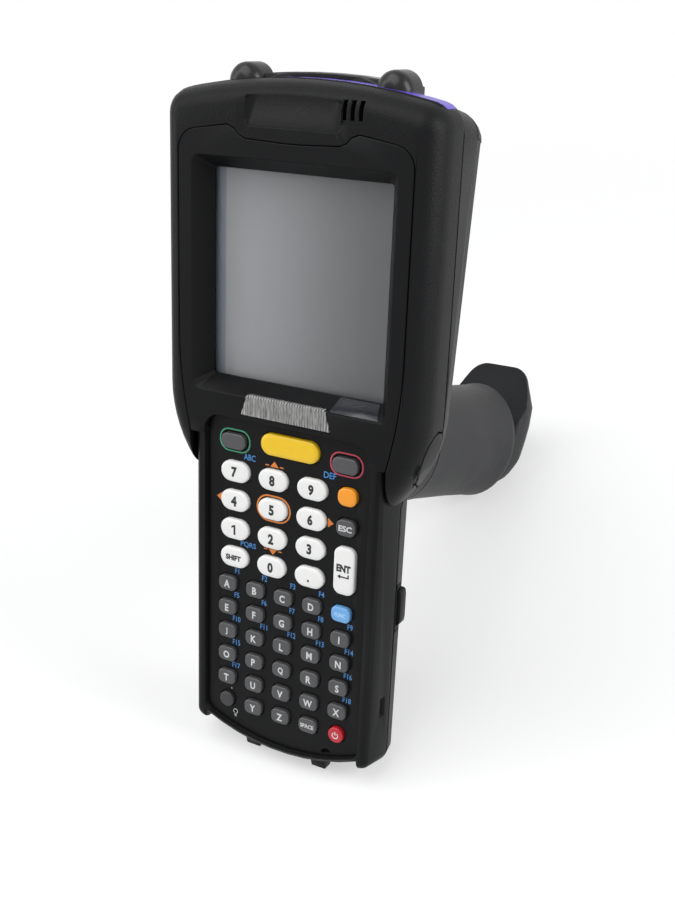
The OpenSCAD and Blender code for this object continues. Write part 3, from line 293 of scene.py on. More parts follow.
metals = {
    "screw": ((0.50, 0.50, 0.52),), "pin": ((0.72, 0.72, 0.74), 0.26),
    "cell": ((0.62, 0.62, 0.64), 0.3, 160), "gold": ((0.80, 0.60, 0.25), 0.3)}
inks = {
    "inkBlack": ((0.010, 0.010, 0.012),), "inkWhite": ((0.72, 0.73, 0.74),),
    "inkPale": ((0.60, 0.61, 0.62),), "inkBlue": ((0.050, 0.230, 0.560),),
    "inkSky": ((0.48, 0.70, 0.95),), "inkOrange": ((0.70, 0.20, 0.025),),
    "inkGreen": ((0.045, 0.30, 0.16),), "inkRed": ((0.50, 0.045, 0.085),)}
panes = {
    "glass": ((0.10, 0.104, 0.112), 0.16, 0.05, 0.8),
    "window": ((0.100, 0.060, 0.46), 0.94, 0.32, 0.0),
    "tab": ((0.026, 0.029, 0.036), 0.7, 0.2, 0.15)}
# the display's colours: pale and dim are the two ends of its painted reflection, edge is the bluish strip
display = {"pale": (0.54, 0.54, 0.555), "dim": (0.165, 0.165, 0.168), "edge": (0.26, 0.31, 0.37)}
finishes = {"board": circuitBoard("circuitBoard"), "display": offDisplay("offDisplay", **display),
            "bar": ribbedClear("ribbedClear", (0.42, 0.42, 0.41))}
for maker, group in ((mouldedPlastic, plastics), (softRubber, rubbers), (keyPlastic, caps),
                     (metalFinish, metals), (printedInk, inks), (clearPane, panes)):
    for name, values in group.items():
        finishes[name] = maker(name + "Finish", *values)
print("finishes made:", len(finishes))


def shaded(mesh, angle):
    mesh.polygons.foreach_set("use_smooth", [True] * len(mesh.polygons))
    mesh.set_sharp_from_angle(angle=math.radians(angle))


def linked(name, data):
    thing = bpy.data.objects.new(name, data)
    scene.collection.objects.link(thing)
    return thing


def pieceFrom(name, mesh, finish, angle=None):
    piece = linked(name, mesh)
    mesh.materials.clear()
    mesh.materials.append(finishes[finish])
    if angle:
        shaded(mesh, angle)
    return piece


def seated(piece, body, node=None):
    # the piece rides on its body, and stands for a node where it takes one's place
    if node:
        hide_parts(node)
    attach(piece, body)
    return piece


def fitted(name, mesh, finish, body="housing", node=None, angle=None, axes=terminalAxes):
    # a mesh in millimetres, moved to its place and seated
    mesh.transform(axes)
    return seated(pieceFrom(name, mesh, finish, angle), body, node)


weldGap = {"node": 3e-6, "made": 1e-5}       # metres in a node, millimetres in a new mesh


def facedOut(mesh, weld=0):
    # every face outwards, after any doubles are merged
    bm = bmesh.new()
    bm.from_mesh(mesh)
    if weld:
        bmesh.ops.remove_doubles(bm, verts=bm.verts, dist=weld)
    bmesh.ops.recalc_face_normals(bm, faces=bm.faces)
    bm.to_mesh(mesh)
    bm.free()
    return mesh


def closedMesh(name, points, faces):
    mesh = bpy.data.meshes.new(name)
    mesh.from_pydata(points, [], faces)
    return facedOut(mesh, weldGap["made"])


def slab(name, outline, low, high):
    # an outline across X and Y, drawn up from one height to another
    n = len(outline)
    points = [(x, y, z) for z in (low, high) for x, y in outline]
    faces = [tuple(range(n))[::-1], tuple(range(n, 2 * n))]
    return closedMesh(name, points, faces + [(i, (i + 1) % n, n + (i + 1) % n, n + i)
                                             for i in range(n)])


def applied(piece):
    # the piece as a plain mesh, with its modifiers in it
    depsgraph = bpy.context.evaluated_depsgraph_get()
    mesh = bpy.data.meshes.new_from_object(piece.evaluated_get(depsgraph))
    piece.modifiers.clear()
    piece.data = mesh
    return piece


def meshOnly(piece):
    mesh = piece.data.copy()
    bpy.data.objects.remove(piece)
    return mesh


def softened(mesh, width):
    # the mesh with its edges rounded
    piece = linked("soft", mesh)
    edge = piece.modifiers.new("soften", "BEVEL")
    edge.width, edge.segments = width, 2
    return meshOnly(applied(piece))


def joined(name, meshes):
    bm = bmesh.new()
    for mesh in meshes:
        bm.from_mesh(mesh)
        bpy.data.meshes.remove(mesh)
    out = bpy.data.meshes.new(name)
    bm.to_mesh(out)
    bm.free()
    return out


def weldedNode(node):
    # a node's loose triangles, joined into one mesh
    bm = bmesh.new()
    bm.from_mesh(nodes[node].data)
    bmesh.ops.remove_doubles(bm, verts=bm.verts, dist=weldGap["node"])
    return bm


def pieceName(node):
    first, *rest = node.split("_")
    return first + "".join(word.title() for word in rest)


# covers keep the shape of their nodes: the finish, and how many millimetres ease the outer edges
covers = {
    "front_bezel": ("bezel", 0.3), "head_shroud": ("shell", 0.35),
    "rear_housing": ("rearShell", 0.35), "keypad_plate": ("plate", 0.12),
    "top_bumper": ("bumper", 0.4), "grip_half_left": ("gripShell", 0.3),
    "grip_half_right": ("gripShell", 0.3), "grip_base": ("gripShell", 0.2),
    "grip_sleeve": ("sleeve", 0.5), "battery_pack": ("battery", 0.3), "trigger": ("trigger", 0.8),
    "jack_cover": ("bezel", 0.25), "touch_panel": ("glass", 0.1), "scan_window": ("window", 0.2)}
lanyardHole = {"v": -6, "w": -129.5, "radius": 3.95}
windowSwell = {"rise": 0.62, "widen": 1.012}


def plugged(bm, v, w, radius):
    # closes the hole across the grip's base with a patch at each side
    inverse = gripAxes.inverted()
    inside = []
    for face in bm.faces:
        at = [inverse @ vert.co for vert in face.verts]
        if all(math.hypot(p.y - v, p.z - w) < radius for p in at):
            inside.append(face)
    bmesh.ops.delete(bm, geom=inside, context="FACES")
    rims = [edge for edge in bm.edges if len(edge.link_faces) == 1]
    patches = bmesh.ops.holes_fill(bm, edges=rims, sides=0)["faces"]
    bmesh.ops.triangulate(bm, faces=patches)
    print("lanyard hole closed, patches:", len(patches))


def easedCover(node, finish, ease, sharp=34):
    bm = weldedNode(node)
    if node == "grip_base":
        plugged(bm, **lanyardHole)
    if node == "scan_window":
        bm.transform(terminalAxes @ Matrix.Translation((0, windowSwell["rise"], 0))
                     @ Matrix.Diagonal((windowSwell["widen"], 1, 1, 1)) @ terminalAxes.inverted())
    weights = bm.edges.layers.float.new("bevel_weight_edge")
    for edge in bm.edges:
        if len(edge.link_faces) == 2 and edge.is_convex:
            if edge.calc_face_angle(0) > math.radians(sharp):
                edge[weights] = 1.0
    name = "triggerLever" if node == "trigger" else pieceName(node)
    mesh = bpy.data.meshes.new(name)
    bm.to_mesh(mesh)
    bm.free()
    cover = pieceFrom(name, mesh, finish, sharp)
    bevel = cover.modifiers.new("eased", "BEVEL")
    bevel.limit_method = "WEIGHT"
    bevel.width = ease / 1000
    bevel.segments = 2
    bevel.use_clamp_overlap = False
    bevel.loop_slide = False
    bevel.harden_normals = True
    return seated(applied(cover), bodyOf[node], node)


for node, (finish, ease) in covers.items():
    easedCover(node, finish, ease)
print("covers eased:", len(covers))

# nodes whose shape stays as it is
plainNodes = {
    "housing_seal": "seal", "lcd_module": "display", "keymat": "mat", "keypad_board": "board",
    "main_board": "board", "scan_engine": "engine", "speaker": "speaker", "backup_cell": "cell",
    "battery_contacts": "socket", "headset_jack": "socket", "dock_connector": "socket",
    "trigger_pin": "pin", "trigger_switch": "socket"}
for node, finish in plainNodes.items():
    nodes[node].data.materials.clear()
    nodes[node].data.materials.append(finishes[finish])
print("nodes finished:", len(plainNodes))


class Recipe(Maker):
    # a Geometry Nodes tree with a named input for each size
    def __init__(self, name, sizes):
        self.tree = bpy.data.node_groups.new(name, "GeometryNodeTree")
        face = self.tree.interface
        face.new_socket(name="Places", in_out="INPUT", socket_type="NodeSocketGeometry")
        for label, value in sizes.items():
            kind = "NodeSocketInt" if isinstance(value, int) else "NodeSocketFloat"
            face.new_socket(name=label, in_out="INPUT", socket_type=kind).default_value = value
        face.new_socket(name="Finish", in_out="INPUT", socket_type="NodeSocketMaterial")
        face.new_socket(name="Piece", in_out="OUTPUT", socket_type="NodeSocketGeometry")
        entry = self.tree.nodes.new("NodeGroupInput")
        self.size = {s.name: Wire(self, s) for s in entry.outputs if s.name}

    def join(self, *shapes):
        node = self.tree.nodes.new("GeometryNodeJoinGeometry")
        for shape in shapes:
            self.plug(node.inputs[0], shape)
        return Wire(self, node.outputs[0])

    def moved(self, shape, x=0.0, y=0.0, z=0.0, turn=None):
        return self.make("GeometryNodeTransform", Geometry=shape,
                         Translation=self.vector(x, y, z), Rotation=turn)

    def tube(self, sides, radius, depth):
        return self.make("GeometryNodeMeshCylinder", {}, "Mesh", Vertices=sides, Radius=radius,
                         Depth=depth)

    def copies(self, places, shape, turn=None, scale=None):
        return self.make("GeometryNodeInstanceOnPoints", Points=places,
                         Instance=shape, Rotation=turn, Scale=scale)

    def close(self, shape):
        solid = self.make("GeometryNodeRealizeInstances", {}, None, shape)
        painted = self.make("GeometryNodeSetMaterial", Geometry=solid,
                            Material=self.size["Finish"])
        leave = self.tree.nodes.new("NodeGroupOutput")
        self.plug(leave.inputs[0], painted)
        return self

    def build(self, name, finish, places, axes, angle=35, aims=(), reaches=(), **sizes):
        mesh = bpy.data.meshes.new(name)
        mesh.from_pydata([tuple(p) for p in places], [], [])
        if aims:
            mesh.attributes.new("aim", "FLOAT_VECTOR", "POINT").data.foreach_set(
                "vector", [c for aim in aims for c in aim])
            mesh.attributes.new("reach", "FLOAT", "POINT").data.foreach_set("value", reaches)
        piece = linked(name, mesh)
        shape = piece.modifiers.new("shape", "NODES")
        shape.node_group = self.tree
        for item in self.tree.interface.items_tree:
            key = item.name.replace(" ", "")
            if item.name == "Finish":
                shape[item.identifier] = finishes[finish]
            elif key in sizes:
                shape[item.identifier] = sizes[key]
        applied(piece)
        facedOut(piece.data).transform(axes)
        shaded(piece.data, angle)
        return piece


# key caps: an outline drawn up from under the plate, rolled over in steps to a flat top
def capRecipe(steps=7):
    r = Recipe("keyCaps", {"Width": 9.4, "Height": 6.2, "Corner": 3.0, "Rise": 1.3,
                           "Under": -2.1, "Crown": 0.55, "Inset": 1.2})
    s = r.size
    outline = r.make("GeometryNodeCurvePrimitiveQuadrilateral", {"mode": "RECTANGLE"},
                     Width=s["Width"], Height=s["Height"])
    outline = r.make("GeometryNodeFilletCurve", {"mode": "POLY"}, Curve=outline,
                     Radius=s["Corner"], Count=7)
    foot = r.moved(r.make("GeometryNodeFillCurve", {"mode": "NGONS"}, None, outline),
                   z=s["Under"])
    along = r.vector(0.0, 0.0, 1.0)
    here = r.make("GeometryNodeInputPosition")
    cap, top, past = foot, None, 0.0
    for k in range(steps + 1):
        t = math.radians(90 * k / steps)
        if k == 0:
            lift = s["Rise"] - s["Crown"] - s["Under"]
        else:
            lift = s["Crown"] * (math.sin(t) - math.sin(math.radians(90 * (k - 1) / steps)))
        pulled = r.tree.nodes.new("GeometryNodeExtrudeMesh")
        for key, value in (("Mesh", cap), ("Selection", top), ("Offset", along),
                           ("Offset Scale", lift), ("Individual", False)):
            r.plug(pulled.inputs[key], value)
        cap, top = Wire(r, pulled.outputs["Mesh"]), Wire(r, pulled.outputs["Top"])
        if k:
            inset, before = s["Inset"] * (2 * (1 - math.cos(t))), s["Inset"] * (2 * past)
            share = r.vector((s["Width"] - inset) / (s["Width"] - before),
                             (s["Height"] - inset) / (s["Height"] - before), 1.0)
            drawnIn = r.make("ShaderNodeVectorMath", {"operation": "MULTIPLY"}, None, here, share)
            cap = r.make("GeometryNodeSetPosition", Geometry=cap, Selection=top,
                         Position=drawnIn)
        past = 1 - math.cos(t)
    underside = r.make("GeometryNodeFlipFaces", {}, None, foot)
    cap = r.make("GeometryNodeMergeByDistance", Geometry=r.join(cap, underside),
                 Distance=0.001)
    return r.close(r.copies(s["Places"], cap))


keypad = {"numberX": -16.92, "numberY": 22.06, "numberPitchX": 12.66, "numberPitchY": 8.94,
          "letterX": -19.1, "letterY": -13.57, "letterPitchX": 9.55, "letterPitchY": 7.89,
          "rise": 1.3, "under": -2.1}


def numberAt(column, line):
    return (keypad["numberX"] + column * keypad["numberPitchX"],
            keypad["numberY"] - line * keypad["numberPitchY"])


def letterAt(column, line):
    return (keypad["letterX"] + column * keypad["letterPitchX"],
            keypad["letterY"] - line * keypad["letterPitchY"])


domed = {"Crown": 0.62, "Inset": 1.3}
flatTopped = {"Crown": 0.42, "Inset": 0.62}
numberCap = {"Width": 9.4, "Height": 6.2, "Corner": 3.09, **domed}
letterCap = {"Width": 6.0, "Height": 4.6, "Corner": 1.65, **flatTopped}
roundCap = {"Width": 5.0, "Height": 5.0, "Corner": 2.49, "Crown": 0.5, "Inset": 0.8}
actionCap = {"Width": 8.0, "Height": 4.6, "Corner": 2.0, **flatTopped}
keys = {
    "scan_key": ("yellow", (0.9, 32.6),
                 {"Width": 18.6, "Height": 6.4, "Corner": 3.09, "Crown": 0.7, "Inset": 1.5}),
    "action_key_left": ("grey", (-17.5, 31.2), actionCap),
    "action_key_right": ("grey", (18.6, 31.2), actionCap),
    "orange_key": ("orange", (19.6, 22.2),
                   {"Width": 5.8, "Height": 5.2, "Corner": 2.15, "Crown": 0.5, "Inset": 0.9}),
    "escape_key": ("grey", (19.6, 13.1),
                   {"Width": 6.0, "Height": 4.8, "Corner": 1.95, **flatTopped}),
    "enter_key": ("white", (19.6, 0),
                  {"Width": 6.6, "Height": 14.4, "Corner": 2.35, "Crown": 0.55, "Inset": 1.1}),
    "blue_key": ("blue", letterAt(4, 0), {**letterCap, "Inset": 0.8}),
    "power_key": ("red", letterAt(4, 5), roundCap),
    "backlight_key": ("dark", letterAt(0, 5), roundCap)}
# the white keys, three to a line from the top left
whiteKeys = {"key_7": "keySeven", "key_8": "keyEight", "key_9": "keyNine", "key_4": "keyFour",
             "key_5": "keyFive", "key_6": "keySix", "key_1": "keyOne", "key_2": "keyTwo",
             "key_3": "keyThree", "shift_key": "keyShift", "key_0": "keyZero",
             "point_key": "keyPoint"}
for i, node in enumerate(whiteKeys):
    keys[node] = ("white", numberAt(i % 3, i // 3), numberCap)
capTree = capRecipe()
for node, (finish, (x, y), cap) in keys.items():
    name = whiteKeys.get(node, pieceName(node))
    seated(capTree.build(name, finish, [(x, y, 0)], terminalAxes, 40, **cap), bodyOf[node], node)
letterColumns = [range(0, 4), range(0, 5), range(0, 5), range(0, 5), range(0, 5), range(1, 4)]
for line, columns in enumerate(letterColumns):
    node = "letter_row_%d" % (line + 1)
    row = capTree.build("letterRow%d" % (line + 1), "grey",
                        [(*letterAt(c, line), 0) for c in columns], terminalAxes, 40, **letterCap)
    seated(row, bodyOf[node], node)
print("key pieces made:", len(keys) + len(letterColumns))


# screws: a chamfered head with a six-sided drive, on a shank as long as each place needs
screws = {"Head Radius": 2.1, "Head Height": 1.6, "Drive Radius": 1.0, "Drive Depth": 0.9,
          "Shank Radius": 1.1, "Chamfer": 0.35}


def screwRecipe():
    r = Recipe("screws", screws)
    s = r.size
    rim = r.make("GeometryNodeMeshCone", {}, "Mesh", Vertices=32, Depth=s["Chamfer"],
                 Radius_Top=s["Head Radius"], Radius_Bottom=s["Head Radius"] - s["Chamfer"])
    drum = s["Head Height"] - s["Chamfer"]
    head = r.make("GeometryNodeMeshBoolean", {"operation": "UNION"}, "Mesh", None, rim)
    r.plug(head.socket.node.inputs[1],
           r.moved(r.tube(32, s["Head Radius"], drum), z=s["Chamfer"] + drum * 0.5))
    drive = r.tube(6, s["Drive Radius"], s["Drive Depth"] * 2.0)
    head = r.make("GeometryNodeMeshBoolean", {"operation": "DIFFERENCE"}, "Mesh", head, drive)
    shank = r.moved(r.tube(20, s["Shank Radius"], 1.0), z=0.5)
    aim = r.make("GeometryNodeInputNamedAttribute", {"data_type": "FLOAT_VECTOR"}, None, "aim")
    reach = r.make("GeometryNodeInputNamedAttribute", {"data_type": "FLOAT"}, None, "reach")
    turn = r.make("FunctionNodeAlignRotationToVector", {"axis": "Z"}, None, None, 1.0, aim)
    inward = r.make("ShaderNodeVectorMath", {"operation": "SCALE"}, Vector=aim,
                    Scale=s["Head Height"] - 0.05)
    necks = r.make("GeometryNodeSetPosition", Geometry=s["Places"], Offset=inward)
    return r.close(r.join(r.copies(s["Places"], head, turn),
                          r.copies(necks, shank, turn, r.vector(1.0, 1.0, reach))))


def islands(node, axes):
    # the separate solids of a node, as lists of points in the given axes
    bm = weldedNode(node)
    inverse, seen, found = axes.inverted(), set(), []
    for start in bm.verts:
        if start.index in seen:
            continue
        seen.add(start.index)
        group, edge = [], [start]
        while edge:
            v = edge.pop()
            group.append(inverse @ v.co)
            for e in v.link_edges:
                other = e.other_vert(v)
                if other.index not in seen:
                    seen.add(other.index)
                    edge.append(other)
        found.append(group)
    bm.free()
    return found


def span(points):
    return [[f(p[i] for p in points) for i in range(3)] for f in (min, max)]


def screwPlaces(node, axes, headHeight):
    # where each screw's head faces out, which way it points and how long its shank is
    places, aims, reaches = [], [], []
    for points in islands(node, axes):
        low, high = span(points)
        k = max(range(3), key=lambda i: high[i] - low[i])
        middle = [(a + b) / 2 for a, b in zip(low, high)]

        def spread(at):
            return max(math.dist([c for i, c in enumerate(p) if i != k],
                                 [c for i, c in enumerate(middle) if i != k])
                       for p in points if abs(p[k] - at) < 0.1)

        fromLow = spread(low[k]) > spread(high[k])
        place = list(middle)
        place[k] = low[k] if fromLow else high[k]
        aim = [0.0, 0.0, 0.0]
        aim[k] = 1.0 if fromLow else -1.0
        places.append(place)
        aims.append(aim)
        reaches.append(high[k] - low[k] - headHeight)
    return {"places": places, "aims": aims, "reaches": reaches}


screwTree = screwRecipe()
for node, axes in (("housing_screws", terminalAxes), ("grip_screws", gripAxes)):
    found = screwPlaces(node, axes, screws["Head Height"])
    seated(screwTree.build(pieceName(node), "screw", axes=axes, **found), "housing", node)
    print(node, "made:", len(found["places"]))

# latches: smooth plates with a crowned outer face
latch = {"crown": [(0.0, -1.2), (0.5, -0.7), (2.0, -0.5)], "ease": 0.2}
for node, side in (("battery_latch_left", -1), ("battery_latch_right", 1)):
    low, high = span(islands(node, terminalAxes)[0])
    outer, inner = (high[0], low[0]) if side > 0 else (low[0], high[0])
    crown = [(outer + side * back, low[1] + along) for along, back in latch["crown"]]
    crown += [(outer + side * back, high[1] - along) for along, back in latch["crown"][::-1]]
    plate = slab("latch", [(inner, low[1])] + crown + [(inner, high[1])], low[2], high[2])
    fitted(pieceName(node), softened(plate, latch["ease"]), "latch", bodyOf[node], node, 40)
print("latches made")

# full domes round the bumper's two bumps, down to the top edge
dome = {"x": 22, "y": 128.75, "radius": 5.05, "back": -18.3, "front": -7.6, "round": 4.1,
        "chamfer": 1.2, "steps": 9, "sides": 48}


def domeMesh(side):
    rings = [(dome["radius"] - dome["chamfer"], dome["back"]),
             (dome["radius"], dome["back"] + dome["chamfer"])]
    for k in range(dome["steps"]):
        t = math.radians(90 * k / dome["steps"])
        rings.append((dome["radius"] - dome["round"] * (1 - math.cos(t)),
                      dome["front"] - dome["round"] * (1 - math.sin(t))))
    rings.append((dome["radius"] - dome["round"], dome["front"]))
    n = dome["sides"]
    points = [(side * dome["x"] + r * math.cos(2 * math.pi * i / n),
               dome["y"] + r * math.sin(2 * math.pi * i / n), z) for r, z in rings
              for i in range(n)]
    faces = [tuple(range(n))[::-1], tuple(range(len(points) - n, len(points)))]
    faces += [(k * n + i, k * n + (i + 1) % n, (k + 1) * n + (i + 1) % n, (k + 1) * n + i)
              for k in range(len(rings) - 1) for i in range(n)]
    return closedMesh("dome", points, faces)


fitted("bumpDomes", joined("bumpDomes", [domeMesh(-1), domeMesh(1)]), "bumper", angle=40)
print("domes made")

# band round the upper back edge, which closes the housing there
band = {"top": 130.8, "bow": 171.6, "halfWidth": 41.2, "corner": 7, "seam": -12, "depth": 24.8,
        "slope": 0.12, "slopeFrom": 20, "across": 16, "up": 16.5, "fall": 0.3, "proud": 0.06,
        "thick": 1.0, "angles": (4, 12, 21, 30, 40, 50, 60, 70, 80)}


def bandRow(angle, shift):
    # one row of the back's rounding, moved out by so much
    t = math.radians(angle)
    inset = band["across"] * (1 - math.cos(t)) - shift
    corner = max(band["corner"] - inset, 0.4)
    middle, centreX = band["top"] - band["bow"], band["halfWidth"] - inset - corner
    rise = math.sqrt((band["bow"] - inset - corner) ** 2 - centreX ** 2)
    turn = math.atan2(rise, centreX)
    half = [(centreX + corner * math.cos(turn * k / 5), middle + rise + corner
             * math.sin(turn * k / 5)) for k in range(6)]
    for k in range(1, 6):
        b = turn + (math.pi / 2 - turn) * (k - 0.5) / 5
        half.append(((band["bow"] - inset) * math.cos(b),
                     middle + (band["bow"] - inset) * math.sin(b)))
    row = []
    for x, y in half + [(-x, y) for x, y in reversed(half)]:
        back = -band["depth"] - band["slope"] * (y - band["slopeFrom"])
        start = min(back + band["up"], band["seam"] - 0.2)
        z = start + (back - start) * math.sin(t) - shift
        lean = min(1, (y - band["top"] + 45) / 40) * max(0, band["seam"] - 0.5 - z)
        row.append((x, y - band["fall"] * lean, z))
    return row


def bandMesh():
    rows = [bandRow(a, band["proud"]) for a in band["angles"]]
    rows += [bandRow(a, -band["thick"]) for a in reversed(band["angles"])]
    n, m = len(rows[0]), len(rows)
    faces = [(k * n + i, k * n + i + 1, (k + 1) % m * n + i + 1, (k + 1) % m * n + i)
             for k in range(m) for i in range(n - 1)]
    for i in (0, n - 1):
        faces += [(k * n + i, (k + 1) * n + i, (m - 2 - k) * n + i, (m - 1 - k) * n + i)
                  for k in range(m // 2 - 1)]
    return closedMesh("backBand", [p for row in rows for p in row], faces)


fitted("backBand", bandMesh(), "rearShell", angle=50)
print("back band made")

# light bar: a clear wedge with fine ribs along it
lightBar = {"low": 40.2, "high": 46.2, "halfLow": 14.3, "halfHigh": 12.3, "back": 0.42,
            "front": 2.4, "ease": 0.25, "proud": 0.02,
            "ribs": {"Ribs": 31, "Pitch": 0.83, "Radius": 0.27, "Length": 5.3}}


def ribRecipe():
    r = Recipe("lightBarRibs", lightBar["ribs"])
    s = r.size
    rod = r.moved(r.tube(8, s["Radius"], s["Length"]), turn=(math.radians(90), 0, 0))
    line = r.make("GeometryNodeMeshLine", {"mode": "OFFSET"}, Count=s["Ribs"],
                  Offset=r.vector(s["Pitch"], 0.0, 0.0))
    line = r.moved(line, x=(1.0 - s["Ribs"]) * 0.5 * s["Pitch"])
    rods = r.make("GeometryNodeRealizeInstances", {}, None, r.copies(line, rod))
    return r.close(r.copies(s["Places"], rods))


barEnds = ((-1, "halfLow", "low"), (1, "halfLow", "low"), (1, "halfHigh", "high"),
           (-1, "halfHigh", "high"))
barOutline = [(side * lightBar[half], lightBar[at]) for side, half, at in barEnds]
barBody = slab("barBody", barOutline, lightBar["back"], lightBar["front"])
ribPlace = (0, (lightBar["low"] + lightBar["high"]) / 2, lightBar["front"] + lightBar["proud"])
barRibs = meshOnly(ribRecipe().build("barRibs", "bar", [ribPlace], Matrix()))
fitted("lightBar", joined("lightBar", [softened(barBody, lightBar["ease"]), barRibs]), "bar",
       node="light_bar", angle=30)
print("light bar made")


# contact strips: flat springs that bow out of their block
def stripRecipe():
    r = Recipe("contactStrips", {"Reach": 3.0, "Bow": 0.4, "Width": 0.7, "Thick": 0.25})
    s = r.size
    path = r.make("GeometryNodeCurveQuadraticBezier", Resolution=10,
                  Start=(0, 0, 0), Middle=r.vector(0.0, s["Reach"] * 0.5, s["Bow"] * 2.0),
                  End=r.vector(0.0, s["Reach"], 0.0))
    section = r.make("GeometryNodeCurvePrimitiveQuadrilateral", {"mode": "RECTANGLE"},
                     Width=s["Width"], Height=s["Thick"])
    path = r.make("GeometryNodeSetCurveNormal", {"mode": "Z_UP"}, Curve=path)
    strip = r.make("GeometryNodeCurveToMesh", Curve=path, Profile_Curve=section,
                   Fill_Caps=True)
    return r.close(r.copies(s["Places"], strip))


stripTree = stripRecipe()
dockPins = {"count": 12, "pitch": 1.5, "y": -65.7, "z": -14.5,
            "strip": {"Reach": 3.0, "Bow": 0.25, "Width": 0.7, "Thick": 0.3}}
batteryPins = {"count": 7, "pitch": 2.4, "y": -5.2, "z": -12.6,
               "strip": {"Reach": 0.9, "Bow": 0.35, "Width": 0.8, "Thick": 0.25}}
for name, pins in (("dockPins", dockPins), ("batteryPins", batteryPins)):
    row = [((i - (pins["count"] - 1) / 2) * pins["pitch"], pins["y"], pins["z"])
           for i in range(pins["count"])]
    seated(stripTree.build(name, "gold", row, terminalAxes, **pins["strip"]), "housing")
print("contacts made")

# trigger spring: a coil round the pin, with one leg down to the trigger
spring = {"v": 15, "w": -9, "tilt": math.radians(29), "leg": 20.4, "legRadius": 0.32,
          "coil": {"Turns": 5.0, "Radius": 2.4, "Wire": 0.38, "Length": 3.8}}


def coilRecipe():
    r = Recipe("coils", spring["coil"])
    s = r.size
    path = r.make("GeometryNodeCurveSpiral", Resolution=24, Rotations=s["Turns"],
                  Start_Radius=s["Radius"], End_Radius=s["Radius"], Height=s["Length"])
    wire = r.make("GeometryNodeCurvePrimitiveCircle", {"mode": "RADIUS"}, Resolution=8,
                  Radius=s["Wire"])
    coil = r.make("GeometryNodeCurveToMesh", Curve=path, Profile_Curve=wire,
                  Fill_Caps=True)
    coil = r.moved(r.moved(coil, z=s["Length"] * -0.5), turn=(0, math.radians(90), 0))
    return r.close(r.copies(s["Places"], coil))


coilPlace = (0, spring["v"], spring["w"])
coilMesh = meshOnly(coilRecipe().build("coil", "pin", [coilPlace], Matrix()))
legMesh = bpy.data.meshes.new("leg")
legShape = bmesh.new()
bmesh.ops.create_cone(legShape, cap_ends=True, segments=12, radius1=spring["legRadius"],
                      radius2=spring["legRadius"], depth=spring["leg"])
legShape.to_mesh(legMesh)
legShape.free()
coilRadius = spring["coil"]["Radius"]
legMesh.transform(Matrix.Translation((0, spring["v"] - coilRadius * math.cos(spring["tilt"]),
                                      spring["w"] + coilRadius * math.sin(spring["tilt"])))
                  @ Matrix.Rotation(math.pi - spring["tilt"], 4, "X")
                  @ Matrix.Translation((0, 0, spring["leg"] / 2)))
fitted("triggerSpring", joined("triggerSpring", [coilMesh, legMesh]), "pin",
       node="trigger_spring", angle=40, axes=gripAxes)
print("spring made")

# smoked film tab on the lower slope of the screen frame
filmTab = {"left": (13.6, 14.4), "right": (26.3, 28.2), "low": (45.75, 1.9), "high": (48.9, -3.1),
           "lift": 0.04, "thick": 0.22, "ease": 0.09}


def filmMesh():
    (lowY, lowZ), (highY, highZ) = filmTab["low"], filmTab["high"]
    out = Vector((0, lowZ - highZ, highY - lowY)).normalized()
    corners = [(filmTab["left"][0], lowY, lowZ), (filmTab["right"][1], lowY, lowZ),
               (filmTab["right"][0], highY, highZ), (filmTab["left"][1], highY, highZ)]
    points = [Vector(p) + out * d for d in (filmTab["lift"], filmTab["lift"] + filmTab["thick"])
              for p in corners]
    faces = [(0, 1, 2, 3), (4, 5, 6, 7)] + [(i, (i + 1) % 4, 4 + (i + 1) % 4, 4 + i)
                                            for i in range(4)]
    return closedMesh("filmTab", points, faces)


fitted("filmTab", softened(filmMesh(), filmTab["ease"]), "tab", angle=40)
print("film tab made")

# printed legends: thin slabs sunk a hair into what carries them
ink = {"under": -0.012, "over": 0.015, "wordDepth": 0.03}


def inkWord(text, height, width=None, bold=0.0, squeeze=0.85):
    curve = bpy.data.curves.new("word", "FONT")
    curve.body = text
    curve.size = 1.0
    curve.offset = bold
    curve.extrude = 0.5
    curve.resolution_u = 3
    holder = linked("word", curve)
    mesh = bpy.data.meshes.new_from_object(
        holder.evaluated_get(bpy.context.evaluated_depsgraph_get()))
    bpy.data.objects.remove(holder)
    bpy.data.curves.remove(curve)
    low, high = span([v.co for v in mesh.vertices])
    tall = height / (high[1] - low[1])
    wide = width / (high[0] - low[0]) if width else tall * squeeze
    mesh.transform(Matrix.Diagonal((wide, tall, ink["wordDepth"], 1)) @ Matrix.Translation(
        (-(low[0] + high[0]) / 2, -(low[1] + high[1]) / 2, 0)))
    return mesh


def inkShape(outline, hole=None):
    if not hole:
        return slab("print", outline, ink["under"], ink["over"])
    n = len(outline)
    points = [(x, y, z) for ring in (outline, hole) for z in (ink["under"], ink["over"])
              for x, y in ring]
    faces = []
    for i in range(n):
        j = (i + 1) % n
        faces += [(i, j, n + j, n + i), (2 * n + j, 2 * n + i, 3 * n + i, 3 * n + j),
                  (n + i, n + j, 3 * n + j, 3 * n + i), (i, 2 * n + i, 2 * n + j, j)]
    return closedMesh("print", points, faces)


def arc(radius, start, end, steps, x=0, y=0):
    angles = [math.radians(start + (end - start) * i / steps) for i in range(steps + 1)]
    return [(x + radius * math.cos(a), y + radius * math.sin(a)) for a in angles]


def roundRect(w, h, r, steps=7):
    right, top = w / 2 - r, h / 2 - r
    corners = ((right, -top, -90), (right, top, 0), (-right, top, 90), (-right, -top, 180))
    return [p for x, y, start in corners for p in arc(r, start, start + 90, steps, x, y)]


def disc(radius, sides=20):
    return arc(radius, 0, 360, sides)[:-1]


def arcBand(inner, outer, start, end, steps=24):
    return arc(outer, start, end, steps) + arc(inner, start, end, steps)[::-1]


def block(x, low, high):
    return [(-x, low), (x, low), (x, high), (-x, high)]


